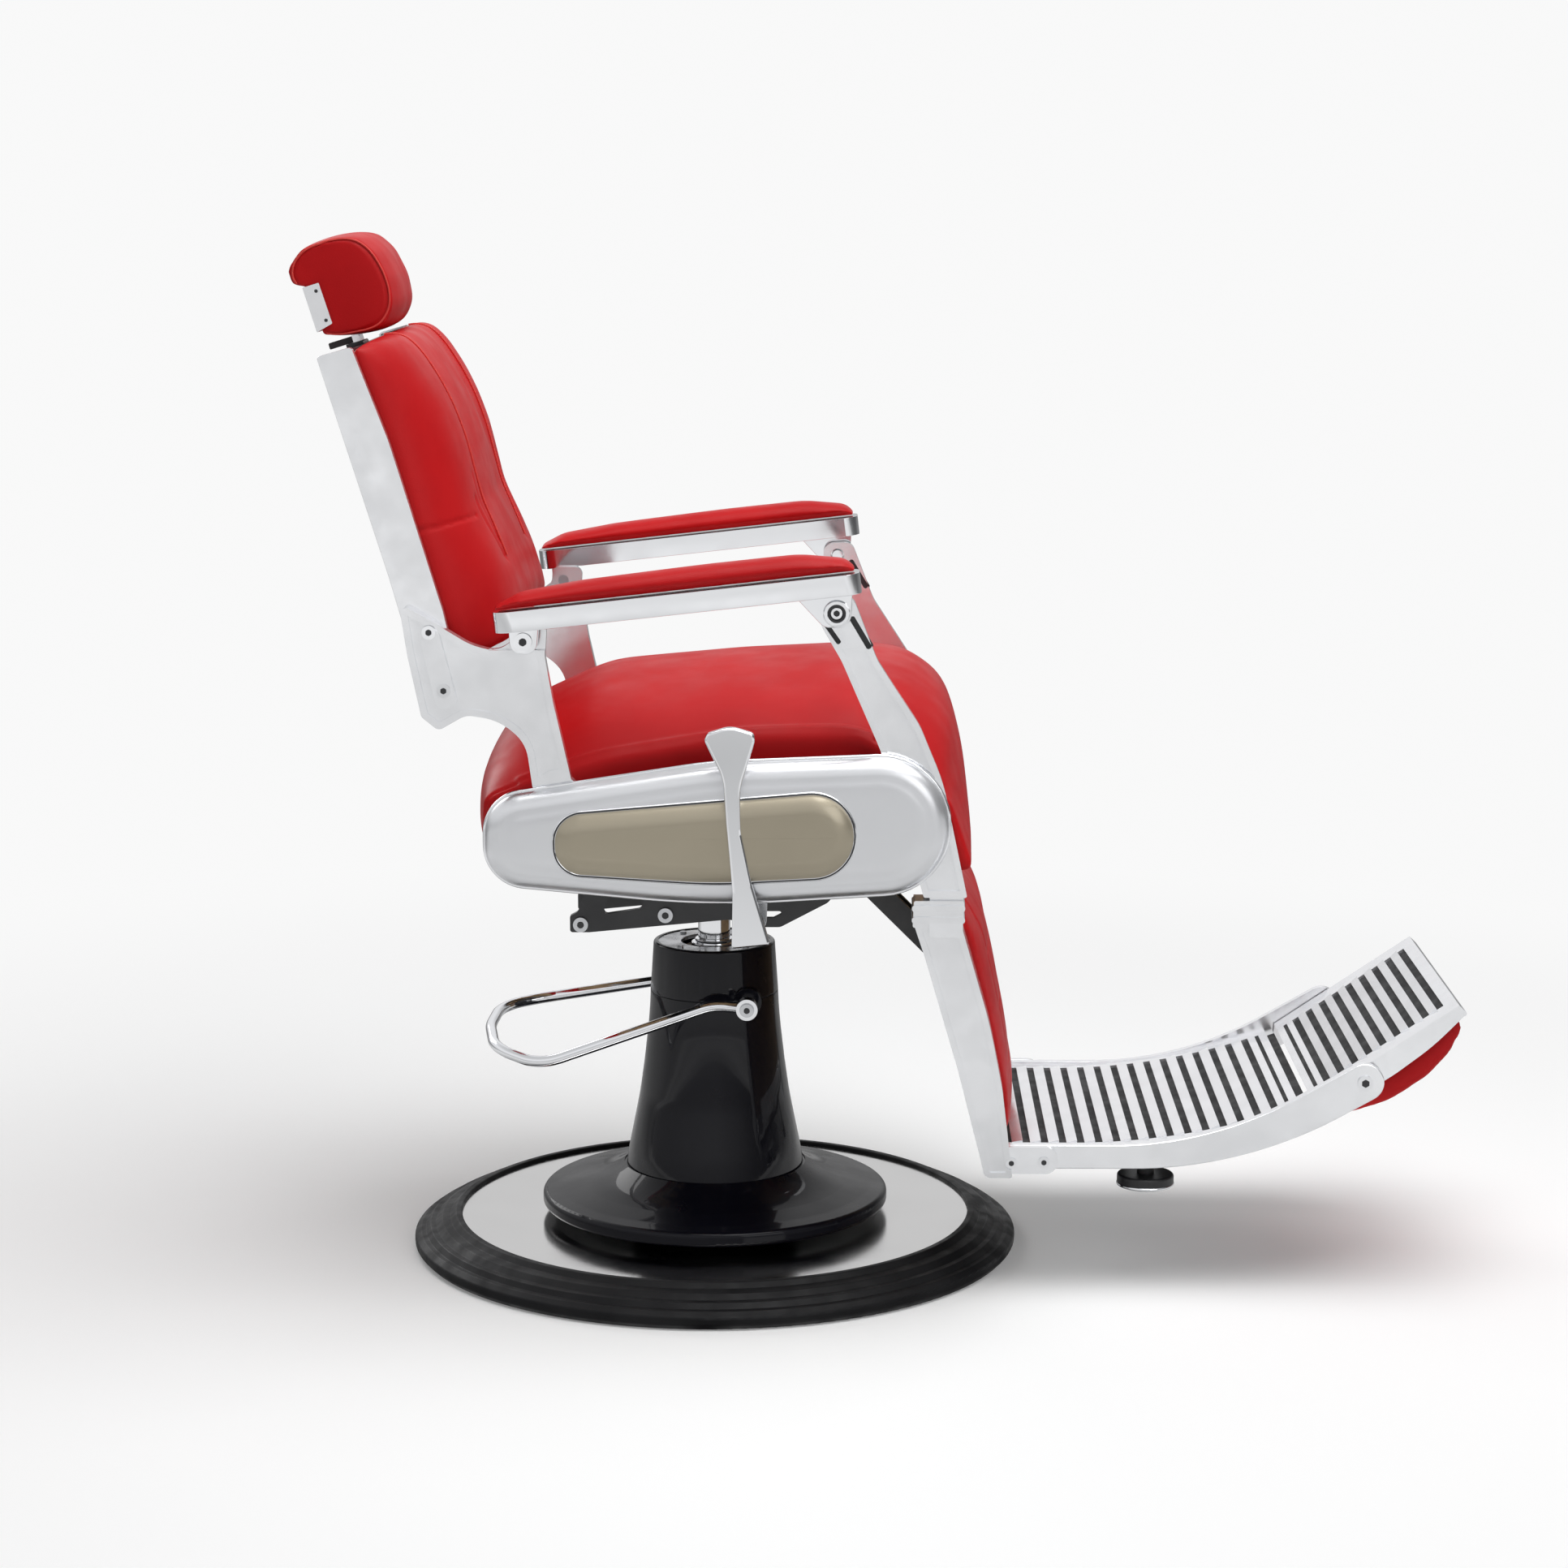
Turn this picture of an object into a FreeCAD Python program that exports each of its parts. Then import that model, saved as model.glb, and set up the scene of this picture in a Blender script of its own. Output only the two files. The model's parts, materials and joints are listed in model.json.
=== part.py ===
import FreeCAD, Part
import math
import os

# Hydraulic barber chair. Millimetres, +X to the front, +Y to the sitter's left, +Z up.
# The origin is on the floor, at the foot of the column, on the swivel axis.

V = FreeCAD.Vector
ORIGIN = V(0, 0, 0)
UP = V(0, 0, 1)

# Base and column
base_radius = 302
mirror_radius = 278
tyre_radius = 330
deck_height = 32
skirt_radius = 189
bell_foot = 88
seam_height = 281.5
bolt_circle, bolt_radius = 46, 6
bolt_head_radius, bolt_head_top = 9, 10
foot_flange_top = 42
column_top = 337

# Hydraulics: a plain ram in one cylinder, with a plunger pump beside it
ram_radius = 17.5
piston_radius = 18.5
cylinder_radius = 27
running_gap = 0.05
ram_shoulder = 368
spigot_radius = 14
hub_foot = 371
plunger_x, plunger_y = 12, -41
plunger_radius = 6
plunger_top = 266.5

# Foot pedal, hinged across the column head
pedal_x, pedal_z = 38, 281.5
pedal_shaft_radius = 8
pedal_reach = 95
shaft_reach = 102
pedal_rod_radius = 6

# Recline linkage, on each side: back bracket, arm, leg strut and seat frame
back_pivot = (-147, 542)
leg_pivot = (197, 562)
arm_rear_pivot = (-180, 701)
arm_front_pivot = (133, 730)
back_pin_radius = 9
leg_pin_radius = 7
arm_pin_radius = 6
open_pivot_gap = 1.6

# Recline lock: a fixed cylinder whose rod pulls a crank under the calf pad
lock_height = 415.5
crank_pin = (151.9, 418.9)
crank_tube = (249, 322)
lock_rod_radius = 6
crank_pin_radius = 6

lever_pivot = (46, 412)
lever_shaft_radius = 8

# Seat cradle and the cushion's overhang
cradle_bolt_points = [(-141, 366.5), (-50, 377)]
apron_top = 545.5

# Depths across the chair, from the middle plane outwards
cushion_side = 241
side_plate_in, side_plate_out = 244, 250
linkage_in, linkage_out = 252, 266
shell_rim, shell_face = 270, 290
arm_in, arm_out = 260, 310
lug_in, lug_out = 270, 284
cheek_in, cheek_out = 56, 64
rail_in, rail_out = 174, 184

# Backrest frame: s runs up the back and t forwards, from a point behind the bracket
back_origin = (-285, 700)
back_tilt = math.radians(17.2)
rail_side, rail_depth = 251, 11
post_back, post_front = -6, 2
catch_axis, catch_barrel_radius = (302.6, -9.6), 3.3

# Screws of the back brackets, into the rails
back_screw_points = [(-276, 708), (-262, 649)]

# Armrest: slope of the channel and its rear top corner
arm_slope = 6.42
arm_corner = (-210, 732)
arm_length = 368
channel_height = 21

# Leg frame: the bars lean inwards below the seat
bar_head = 437
bar_middle = 255
bar_lean = 12.8
bar_thickness = 22

# Footrest
flip_pin = (685.5, 225.6)
flip_pin_radius = 6
tread_level = 153.5
tread_bend_x, tread_bend_radius, tread_rise = 505, 700, math.radians(20)
tread_start, tread_end = 302, 621
flip_start, flip_end = (632, 203.5), (783, 306)
slot_pitch, slot_width, slot_reach = 19.3, 8, 160
plate_thickness = 3


def xz(y=0.0):
    """Places outline points (x, z) in the plane across the chair at y."""
    return lambda u, v: V(u, y, v)


def xy(z=0.0):
    """Places outline points (x, y) in the level plane at z."""
    return lambda u, v: V(u, v, z)


def back_point(s, t):
    """(x, z) of a point s up the backrest and t in front of it."""
    x = back_origin[0] - s * math.sin(back_tilt) + t * math.cos(back_tilt)
    z = back_origin[1] + s * math.cos(back_tilt) + t * math.sin(back_tilt)
    return x, z


def on_back(y=0.0):
    """Places outline points (s, t) of the backrest in the plane at y."""
    return lambda s, t: V(back_point(s, t)[0], y, back_point(s, t)[1])


def rounded_outline(corners, place):
    """A closed wire through corners (u, v) or (u, v, radius)."""
    count = len(corners)
    ends = []
    for i, corner in enumerate(corners):
        here = V(corner[0], corner[1], 0)
        radius = corner[2] if len(corner) > 2 else 0
        if radius == 0:
            ends.append((here, None, here))
            continue
        before = V(*corners[i - 1][:2], 0)
        after = V(*corners[(i + 1) % count][:2], 0)
        arriving = (here - before).normalize()
        leaving = (after - here).normalize()
        half_turn = arriving.getAngle(leaving) / 2
        reach = radius * math.tan(half_turn)
        inward = (leaving - arriving).normalize()
        middle = here + inward * (radius / math.cos(half_turn) - radius)
        ends.append((here - arriving * reach, middle, here + leaving * reach))
    edges = []
    for i, (start, middle, end) in enumerate(ends):
        previous = ends[i - 1][2]
        if (start - previous).Length > 0.01:
            edges.append(Part.makeLine(place(previous.x, previous.y), place(start.x, start.y)))
        if middle is not None:
            arc = Part.Arc(place(start.x, start.y), place(middle.x, middle.y), place(end.x, end.y))
            edges.append(arc.toShape())
    return Part.Wire(Part.__sortEdges__(edges))


def slab(corners, y0, y1):
    """An outline in x and z, filled from y0 to y1."""
    return Part.Face(rounded_outline(corners, xz(y0))).extrude(V(0, y1 - y0, 0))


def back_slab(corners, y0, y1):
    """An outline in the backrest's s and t, filled from y0 to y1."""
    return Part.Face(rounded_outline(corners, on_back(y0))).extrude(V(0, y1 - y0, 0))


def level_slab(corners, z0, z1):
    """An outline in x and y, filled from z0 to z1."""
    return Part.Face(rounded_outline(corners, xy(z0))).extrude(V(0, 0, z1 - z0))


def turned(corners):
    """A body of revolution about the column's axis, from corners (radius, z)."""
    return Part.Face(rounded_outline(corners, xz())).revolve(ORIGIN, UP, 360)


def box(x0, x1, y0, y1, z0, z1):
    return Part.makeBox(x1 - x0, y1 - y0, z1 - z0, V(x0, y0, z0))


def upright(radius, x, y, z0, z1):
    return Part.makeCylinder(radius, z1 - z0, V(x, y, z0))


def cross_pin(radius, point, y0, y1):
    """A cylinder along Y through the point (x, z)."""
    return Part.makeCylinder(radius, y1 - y0, V(point[0], y0, point[1]), V(0, 1, 0))


def along(radius, x0, x1, y, z):
    """A cylinder along X."""
    return Part.makeCylinder(radius, x1 - x0, V(x0, y, z), V(1, 0, 0))


def mirrored(shape):
    return shape.mirror(ORIGIN, V(0, 1, 0))


def end_edges(shape, y):
    """The edges that lie in the plane at y."""
    return [e for e in shape.Edges if e.BoundBox.YLength < 0.01 and abs(e.BoundBox.YMin - y) < 0.01]


def cushion(shape, half_width, radius):
    """Rounds both ends of a padded block."""
    ends = end_edges(shape, half_width) + end_edges(shape, -half_width)
    return shape.makeFillet(radius, ends)


def save(name, *solids):
    shape = solids[0] if len(solids) == 1 else Part.makeCompound(list(solids))
    shape.exportStep("parts/" + name + ".step")


def screw_head(radius, point, y0, y1):
    """A round head with a hexagon socket, facing -Y."""
    head = cross_pin(radius, point, y0, y1)
    key = Part.makePolygon(
        [
            V(point[0] + radius * 0.5 * math.cos(a), y0, point[1] + radius * 0.5 * math.sin(a))
            for a in [math.radians(60 * i) for i in range(7)]
        ]
    )
    return head.cut(Part.Face(key).extrude(V(0, (y1 - y0) * 0.5, 0)))


# Base

def bolt_places():
    angles = [math.radians(45 + 90 * i) for i in range(4)]
    return [(bolt_circle * math.cos(a), bolt_circle * math.sin(a)) for a in angles]


def base_plate():
    """Cast dish with a solid hub, radial ribs and one ring rib on its underside."""
    dish = turned(
        [(0, 0), (62, 0, 1), (62, 24), (284, 24), (284, 0, 1), (base_radius, 0), (base_radius, 16),
         (mirror_radius + 1, deck_height), (0, deck_height)]
    )
    ring_rib = turned([(171, 4), (179, 4), (179, 24), (171, 24)])
    rib = box(60, 286, -4, 4, 4, 24)
    rib_count = 16
    ribs = []
    for i in range(rib_count):
        turned_rib = rib.copy()
        turned_rib.rotate(ORIGIN, UP, 360 * i / rib_count)
        ribs.append(turned_rib)
    plate = dish.fuse([ring_rib] + ribs).removeSplitter()
    for x, y in bolt_places():
        plate = plate.cut(upright(bolt_radius, x, y, 0, deck_height))
        plate = plate.cut(upright(bolt_head_radius, x, y, 0, bolt_head_top))
    return plate


def base_bolts():
    """Four bolts from below, through the plate and the cylinder's foot, with nuts."""
    bolts = []
    for x, y in bolt_places():
        bolt = upright(bolt_head_radius, x, y, 2, bolt_head_top)
        bolt = bolt.fuse(upright(bolt_radius, x, y, bolt_head_top, foot_flange_top + 8))
        nut = upright(9, x, y, foot_flange_top, foot_flange_top + 7)
        bolts.append(bolt.fuse(nut))
    return bolts


def rubber_ring():
    """Bumper moulded round the plate, in four rounded steps."""
    return turned(
        [(base_radius, 0), (324, 0, 4), (tyre_radius, 6, 4), (tyre_radius, 14, 4), (323, 19, 2),
         (318, 19.5, 1.5), (313, 25, 2), (307, 25.5, 1.5), (300, 31, 3), (291, 32.5, 2), (285, 38, 3),
         (mirror_radius, 38, 2), (mirror_radius, deck_height), (mirror_radius + 1, deck_height),
         (base_radius, 16)]
    )


def mirror_disc():
    return turned([(90, deck_height), (mirror_radius, deck_height), (mirror_radius, 34), (90, 34)])


def column_skirt():
    """Low cone with a rounded rim that stands clear of the polished disc."""
    return turned(
        [(68, deck_height), (88, deck_height), (88, 50, 3), (150, 47, 40), (176, 44, 5),
         (skirt_radius, 45, 5), (skirt_radius, 60, 6), (170, 63, 60), (120, 74, 120), (101, bell_foot),
         (68, bell_foot)]
    )


def flared_tube(outer, wall, foot, top):
    """A tube whose outside passes through the points (radius, z)."""
    outside = Part.BSplineCurve()
    outside.interpolate([V(r, 0, z) for r, z in outer])
    inside = Part.BSplineCurve()
    inside.interpolate([V(r - wall, 0, z) for r, z in outer])
    edges = [
        outside.toShape(),
        Part.makeLine(V(outer[-1][0], 0, top), V(outer[-1][0] - wall, 0, top)),
        inside.toShape(),
        Part.makeLine(V(outer[0][0], 0, foot), V(outer[0][0] - wall, 0, foot)),
    ]
    return Part.Face(Part.Wire(Part.__sortEdges__(edges))).revolve(ORIGIN, UP, 360)


def shaft_bosses(z0, z1):
    """Both bosses of the pedal shaft, between two levels."""
    layer = box(-100, 100, -100, 100, z0, z1)
    return [cross_pin(15, (pedal_x, pedal_z), y, y + 16).common(layer) for y in (-66, 50)]


def bored_for_shaft(casting):
    return casting.cut(cross_pin(pedal_shaft_radius + running_gap, (pedal_x, pedal_z), -100, 100))


def column_housing():
    """Bell-shaped casting that flares down to the skirt, with the lower halves of the bosses."""
    bell = [(97, bell_foot), (94, 106), (83.8, 157), (74.5, 222), (70.6, 262), (69.6, seam_height)]
    housing = flared_tube(bell, 7, bell_foot, seam_height)
    housing = housing.fuse(shaft_bosses(200, seam_height)).removeSplitter()
    return bored_for_shaft(housing)


def column_head():
    """Cap casting with a rounded top edge: it closes over the pedal shaft."""
    head = turned(
        [(60, seam_height), (68.8, seam_height), (69.6, seam_height + 1.5), (66, column_top, 3),
         (61, column_top), (61, 332), (60, 332)]
    )
    ledge = turned([(40, 327), (61, 327), (61, 332), (40, 332)])
    head = head.fuse([ledge] + shaft_bosses(seam_height, 310)).removeSplitter()
    return bored_for_shaft(head)


def head_cover():
    """Grey ring let into the column head, with four screws."""
    cover = turned([(36, 332), (61, 332), (61, 336), (36, 336, 1)])
    screws = [upright(3.5, 50 * math.cos(a), 50 * math.sin(a), 336, 338)
              for a in [math.radians(45 + 90 * i) for i in range(4)]]
    return cover.fuse(screws)


def pump_cylinder():
    tube = turned(
        [(0, deck_height), (64, deck_height), (64, foot_flange_top, 2),
         (cylinder_radius, foot_flange_top, 3), (cylinder_radius, 322), (piston_radius + running_gap, 322),
         (piston_radius + running_gap, 60), (0, 60)]
    )
    for x, y in bolt_places():
        tube = tube.cut(upright(bolt_radius, x, y, deck_height, foot_flange_top))
    return tube


def gland_nut():
    """Stepped chrome nut that closes the cylinder and guides the ram."""
    return turned(
        [(ram_radius + running_gap, 322), (32, 322), (32, 330, 1), (25, 330), (25, 335, 1), (21, 335),
         (21, 339, 1), (ram_radius + running_gap, 339)]
    )


def pump_block():
    """Bored block that stands on the cylinder's foot and leans on the cylinder."""
    block = upright(11, plunger_x, plunger_y, foot_flange_top, 250)
    web = box(plunger_x - 8, plunger_x + 8, plunger_y, 0, foot_flange_top, 250)
    block = block.fuse(web).cut(upright(cylinder_radius, 0, 0, 0, 300))
    block = block.cut(upright(cylinder_radius + 3, 0, 0, foot_flange_top, foot_flange_top + 3))
    for x, y in bolt_places():
        block = block.cut(upright(10, x, y, foot_flange_top, foot_flange_top + 12))
    bore = upright(plunger_radius + running_gap, plunger_x, plunger_y, 120, 251)
    return max(block.cut(bore).removeSplitter().Solids, key=lambda s: s.Volume)


def pump_plunger():
    stem = upright(plunger_radius, plunger_x, plunger_y, 140, plunger_top)
    return stem.fuse(upright(plunger_radius + 3, plunger_x, plunger_y, plunger_top - 6, plunger_top))


# Ram

def ram():
    return turned(
        [(0, 84), (piston_radius, 84, 1), (piston_radius, 100, 1), (ram_radius, 100),
         (ram_radius, ram_shoulder), (spigot_radius, ram_shoulder), (spigot_radius, 387, 1), (0, 387)]
    )


def swivel_bearing():
    """Thrust washer on the ram's shoulder."""
    return turned(
        [(spigot_radius, ram_shoulder), (23, ram_shoulder), (23, hub_foot), (spigot_radius, hub_foot)]
    )


# Pump pedal

def pedal_shaft():
    """Shaft across the column head, with the cam that works the plunger."""
    here = (pedal_x, pedal_z)
    shaft = cross_pin(pedal_shaft_radius, here, -shaft_reach, shaft_reach)
    nose = (plunger_x + 2, plunger_top + 5.1)
    cam = slab(
        [(pedal_x - 8, pedal_z - 10), (pedal_x - 1.5, pedal_z - 7.8), (pedal_x - 1.5, pedal_z + 7.8),
         (pedal_x - 8, pedal_z + 11, 4), (nose[0], nose[1] + 4.5), (nose[0], nose[1] - 4.5)],
        plunger_y - 5, plunger_y + 5,
    )
    tip = cross_pin(5, nose, plunger_y - 5, plunger_y + 5)
    return shaft.fuse([cam, tip]).removeSplitter()


def pedal_loop():
    """One bent rod from boss to boss: the near arm dips lower than the far one."""
    z = pedal_z
    route = [
        (pedal_x, -pedal_reach, z, 0), (2, -pedal_reach, 285, 60), (-184, -pedal_reach, 219, 60),
        (-235, -64, 229.5, 55), (-246, 4, 238, 100), (-240, 70, 245, 55), (-196, pedal_reach, 248.5, 60),
        (-75, pedal_reach, 267.5, 200), (pedal_x, pedal_reach, z, 0),
    ]
    rod = bent_rod(route, pedal_rod_radius)
    for side in (-1, 1):
        y = side * pedal_reach
        boss = cross_pin(11.5, (pedal_x, z), y - 7, y + 7)
        rod = rod.fuse(boss)
    rod = rod.removeSplitter()
    return rod.cut(cross_pin(pedal_shaft_radius, (pedal_x, z), -shaft_reach, shaft_reach))


def bent_rod(route, radius):
    """A round rod along straight runs joined by arcs, from points (x, y, z, bend radius)."""
    points = [V(*p[:3]) for p in route]
    edges = []
    start = points[0]
    for i in range(1, len(points) - 1):
        arriving = (points[i] - points[i - 1]).normalize()
        leaving = (points[i + 1] - points[i]).normalize()
        half_turn = arriving.getAngle(leaving) / 2
        reach = route[i][3] * math.tan(half_turn)
        inward = (leaving - arriving).normalize()
        middle = points[i] + inward * (route[i][3] / math.cos(half_turn) - route[i][3])
        entry = points[i] - arriving * reach
        leave = points[i] + leaving * reach
        edges.append(Part.makeLine(start, entry))
        edges.append(Part.Arc(entry, middle, leave).toShape())
        start = leave
    edges.append(Part.makeLine(start, points[-1]))
    path = Part.Wire(edges)
    direction = (points[1] - points[0]).normalize()
    section = Part.Wire([Part.makeCircle(radius, points[0], direction)])
    return path.makePipeShell([section], True, False)


def pedal_screws():
    near = screw_head(7, (pedal_x, pedal_z), -shaft_reach - 3, -shaft_reach)
    return [near, mirrored(near)]


# Seat

def seat_mount():
    """Welded cradle: a hub for the ram's spigot, a plate, and two cheeks under the seat."""
    hub = turned(
        [(spigot_radius + running_gap, hub_foot), (38, hub_foot, 3), (38, 392), (0, 392), (0, 388),
         (spigot_radius + running_gap, 388)]
    )
    deck = level_slab([(-68, -60), (94, -60), (94, 60), (-68, 60)], 384, 392)
    cheek = slab(
        [(-152.5, 357.7, 3), (-132, 357.7, 20), (-14, 369.3, 100), (22, 372.5, 30), (40, 364, 14),
         (73, 364, 10), (128, 393, 14), (134, 440), (-70, 440), (-75, 384, 6), (-118, 377.2, 4), (-96, 440),
         (-122, 440), (-144, 380, 6), (-152.5, 375.5, 3)],
        -cheek_out, -cheek_in,
    )
    window = slab([(50, 374, 2), (66, 374, 2), (80, 381.5, 2), (50, 381.5, 2)], -cheek_out, -cheek_in)
    cheek = cheek.cut(window)
    cradle = hub.fuse([deck, cheek, mirrored(cheek)]).removeSplitter()
    cradle = cradle.cut(upright(spigot_radius + running_gap, 0, 0, hub_foot, 388))
    lever_bore = cross_pin(lever_shaft_radius + running_gap, lever_pivot, -cheek_out - 1, -cheek_in + 1)
    cradle = cradle.cut(lever_bore)
    for point in cradle_bolt_points:
        cradle = cradle.cut(cross_pin(5, point, -80, 80))
    return cradle


def cradle_bolts():
    """Cross bolts that tie the cheeks together, one at the rear and one by the hub."""
    bolts = []
    for point in cradle_bolt_points:
        bolt = cross_pin(5, point, -cheek_out, cheek_out)
        near = screw_head(8, point, -cheek_out - 4, -cheek_out)
        bolts.append(bolt.fuse([near, mirrored(near)]))
    return bolts


channel_places = (-114, 112)


def cross_channels():
    """Two pressed channels, open side down, from side plate to side plate."""
    channels = []
    for x in channel_places:
        outside = box(x - 18, x + 18, -side_plate_in, side_plate_in, 440, 470)
        inside = box(x - 14, x + 14, -side_plate_in, side_plate_in, 440, 466)
        feet = box(x - 18, x + 18, -cheek_out, -cheek_in, 440, 466)
        saddle = box(x - 18, x + 18, -16, 16, 440, 466)
        channels.append(outside.cut(inside).fuse([feet, mirrored(feet), saddle]).removeSplitter())
    return channels


def side_plate():
    """Right-hand side plate, with both pivot eyes and a tab for the lever's shaft."""
    plate = slab(
        [(-205, 530, 34), (9, 566, 400), (222, 572, 44), (232, 462, 44), (8, 443, 800), (-205, 462, 30)],
        -side_plate_out, -side_plate_in,
    )
    tab = slab([(28, 460), (30, 397, 15), (62, 397, 15), (64, 460)], -side_plate_out, -side_plate_in)
    eyes = [cross_pin(16, back_pivot, -side_plate_out, -side_plate_in),
            cross_pin(15, leg_pivot, -side_plate_out, -side_plate_in)]
    plate = plate.fuse([tab] + eyes).removeSplitter()
    plate = plate.cut(cross_pin(back_pin_radius, back_pivot, -260, -240))
    return plate.cut(cross_pin(leg_pin_radius, leg_pivot, -260, -240))


def side_plates():
    """The left plate has no lever, so its tab stays unbored."""
    near = side_plate()
    bored = near.cut(cross_pin(lever_shaft_radius + running_gap, lever_pivot, -260, -240))
    return [bored, mirrored(near)]


def pivot_pins():
    """Shouldered pins for the back brackets and the leg struts, two of each."""
    pins = []
    ends = ((back_pin_radius, back_pivot, rail_side), (leg_pin_radius, leg_pivot, linkage_in))
    for radius, point, inner in ends:
        pin = cross_pin(radius, point, -268, -side_plate_in)
        ring = cross_pin(radius + 4, point, -268, -linkage_out - 0.3)
        collar = cross_pin(radius + 3, point, -inner + 0.1, -side_plate_out)
        near = pin.fuse([ring, collar]).removeSplitter()
        pins += [near, mirrored(near)]
    return pins


def seat_pan():
    """Plywood board under the cushion, with rounded corners and four air holes."""
    corners = [(-212, -236, 30), (242, -236, 30), (242, 236, 30), (-212, 236, 30)]
    board = level_slab(corners, 470, 482)
    for x in (-60, 90):
        for y in (-110, 110):
            board = board.cut(upright(15, x, y, 460, 490))
    return board


def seat_cushion():
    """Pad with a rolled front edge. Its top overhangs the aprons at both ends."""
    top = slab(
        [(-237, 520, 10), (-238, 566, 60), (-190, 612, 60), (-112, 652, 110), (30, 663, 500),
         (205, 672, 60), (252, 634, 60), (275, 520, 10)],
        -cushion_side, cushion_side,
    )
    top = cushion(top, cushion_side, 7).cut(box(-300, 300, -300, 300, 500, apron_top + 0.5))
    core = box(-212, 242, -cushion_side, cushion_side, 482, apron_top + 0.5)
    return top.fuse(core).removeSplitter()


def seat_aprons():
    """Upholstered panels that hang in front of the seat and behind it."""
    outlines = [
        [(242, 456, 6), (279, 456, 8), (270, apron_top), (242, apron_top)],
        [(-243, 471, 8), (-212, 471, 6), (-212, apron_top), (-238, apron_top)],
    ]
    return [slab(outline, -cushion_side, cushion_side) for outline in outlines]


shell_corners = [
    (-222, 541, 42), (9, 577, 500), (247, 587, 70), (247, 447, 69), (8, 431.5, 900), (-222, 453, 42),
]
inlay_corners = [(-151, 530.5, 31), (152, 553, 43), (152, 464, 43), (8, 456, 600), (-151, 466, 31)]
standoff_points = [(-185, 490), (178, 474), (8, 560), (112, 565), (-40, 447)]


def side_shell():
    """Domed chrome cover: a deep rounded edge, hollow behind, with a window for the inlay."""
    wall = 3
    dome = slab(shell_corners, -shell_face, -shell_rim)
    dome = dome.makeFillet(17, end_edges(dome, -shell_face))
    flat_faces = [f for f in dome.Faces if f.BoundBox.YLength < 0.01]
    inner_face = [f for f in flat_faces if abs(f.BoundBox.YMin + shell_rim) < 0.01]
    shell = dome.makeThickness(inner_face, -wall, 0.001)
    return shell.cut(slab(inlay_corners, -shell_face - 1, -shell_rim - 1))


def inlays():
    """Coloured panels: the face stands in the shell's window, the flange sits behind it."""
    face = slab(inlay_corners, -shell_face - 1.5, -shell_face + 3)
    face = face.makeFillet(1.2, end_edges(face, -shell_face - 1.5))
    outline = rounded_outline(inlay_corners, xz(-shell_face + 3)).makeOffset2D(5)
    flange = Part.Face(outline).extrude(V(0, 2.5, 0))
    near = face.fuse(flange).removeSplitter()
    return [near, mirrored(near)]


def shell_standoffs():
    """Posts from the side plate to the inside of the cover."""
    shell = side_shell()
    posts = []
    for point in standoff_points:
        near = cross_pin(5.5, point, -shell_face + 3, -side_plate_out).cut(shell)
        near = max(near.Solids, key=lambda s: s.Volume)
        posts += [near, mirrored(near)]
    return posts


# Recline lock and its lever

def lock_cylinder():
    """Gas lock held under the seat by a saddle at the rear and a foot on the cradle."""
    body = along(14, -152, 46, 0, lock_height)
    body = body.fuse(along(17, 28, 46, 0, lock_height))
    saddle = box(-130, -98, -16, 16, lock_height, 440)
    foot = box(-20, 16, -16, 16, 392, lock_height)
    stub = cross_pin(4, (38, lock_height), -21, -10)
    body = body.fuse([saddle, foot, stub]).removeSplitter()
    body = body.cut(along(10 + running_gap, -140, 30, 0, lock_height))
    return body.cut(along(lock_rod_radius + running_gap, 20, 60, 0, lock_height))


def lock_rod():
    """Rod with a piston at one end and a slotted yoke at the other, for the crank's arc."""
    rod = along(lock_rod_radius, -100, 142, 0, lock_height)
    piston = along(10, -100, -88, 0, lock_height)
    yoke = box(137, 167, -10, 10, 398, 433)
    yoke = yoke.makeFillet(6, [e for e in yoke.Edges if e.BoundBox.YLength > 15])
    pin_x, slot = crank_pin[0], crank_pin_radius + 0.6
    window = slab(
        [(pin_x - slot, 405, slot - 0.1), (pin_x + slot, 405, slot - 0.1), (pin_x + slot, 426, slot - 0.1),
         (pin_x - slot, 426, slot - 0.1)],
        -11, 11,
    )
    return rod.fuse([piston, yoke]).removeSplitter().cut(window)


def recline_lever():
    """Flat paddle: round-topped grip, slim neck and a wide foot, with bevelled faces."""
    blade = slab(
        [(28, 392, 3), (67, 396, 3), (49, 457, 60), (37.5, 512, 80), (37, 555, 60), (52, 604, 5),
         (51, 612, 5), (27, 619, 30), (4, 612, 5), (1, 604, 5), (19.5, 566, 60), (22.5, 520, 80),
         (29, 450, 60)],
        -303, -293,
    )
    blade = blade.makeChamfer(2.2, end_edges(blade, -303))
    return blade.cut(cross_pin(lever_shaft_radius, lever_pivot, -300, -290))


def lever_shaft():
    """Shaft through the side plate and the cradle, with the finger that frees the lock."""
    shaft = cross_pin(lever_shaft_radius, lever_pivot, -300, -24)
    finger = slab(
        [(lever_pivot[0] + 11, lever_pivot[1] - 11, 10.9), (lever_pivot[0] + 11, lever_pivot[1] + 11, 10.9),
         (34, 425, 3), (30, 421, 3), (36, 400, 4)],
        -30, -24,
    )
    return shaft.fuse(finger).removeSplitter()


# Backrest

def back_rail():
    """Right-hand rail: a pressed channel, wider at its foot, open towards the middle."""
    corners = [
        (-68, -18.5, 3), (10, -14, 200), (70, -12.4, 200), (299, -12.7, 4), (298, 23.5, 4), (200, 30, 300),
        (20, 29, 40), (-68, 22, 3),
    ]
    solid = back_slab(corners, -rail_side, -rail_side + rail_depth)
    inner = rounded_outline(corners, on_back(-rail_side + 3)).makeOffset2D(-2.5)
    return solid.cut(Part.Face(inner).extrude(V(0, rail_depth, 0)))


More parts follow.
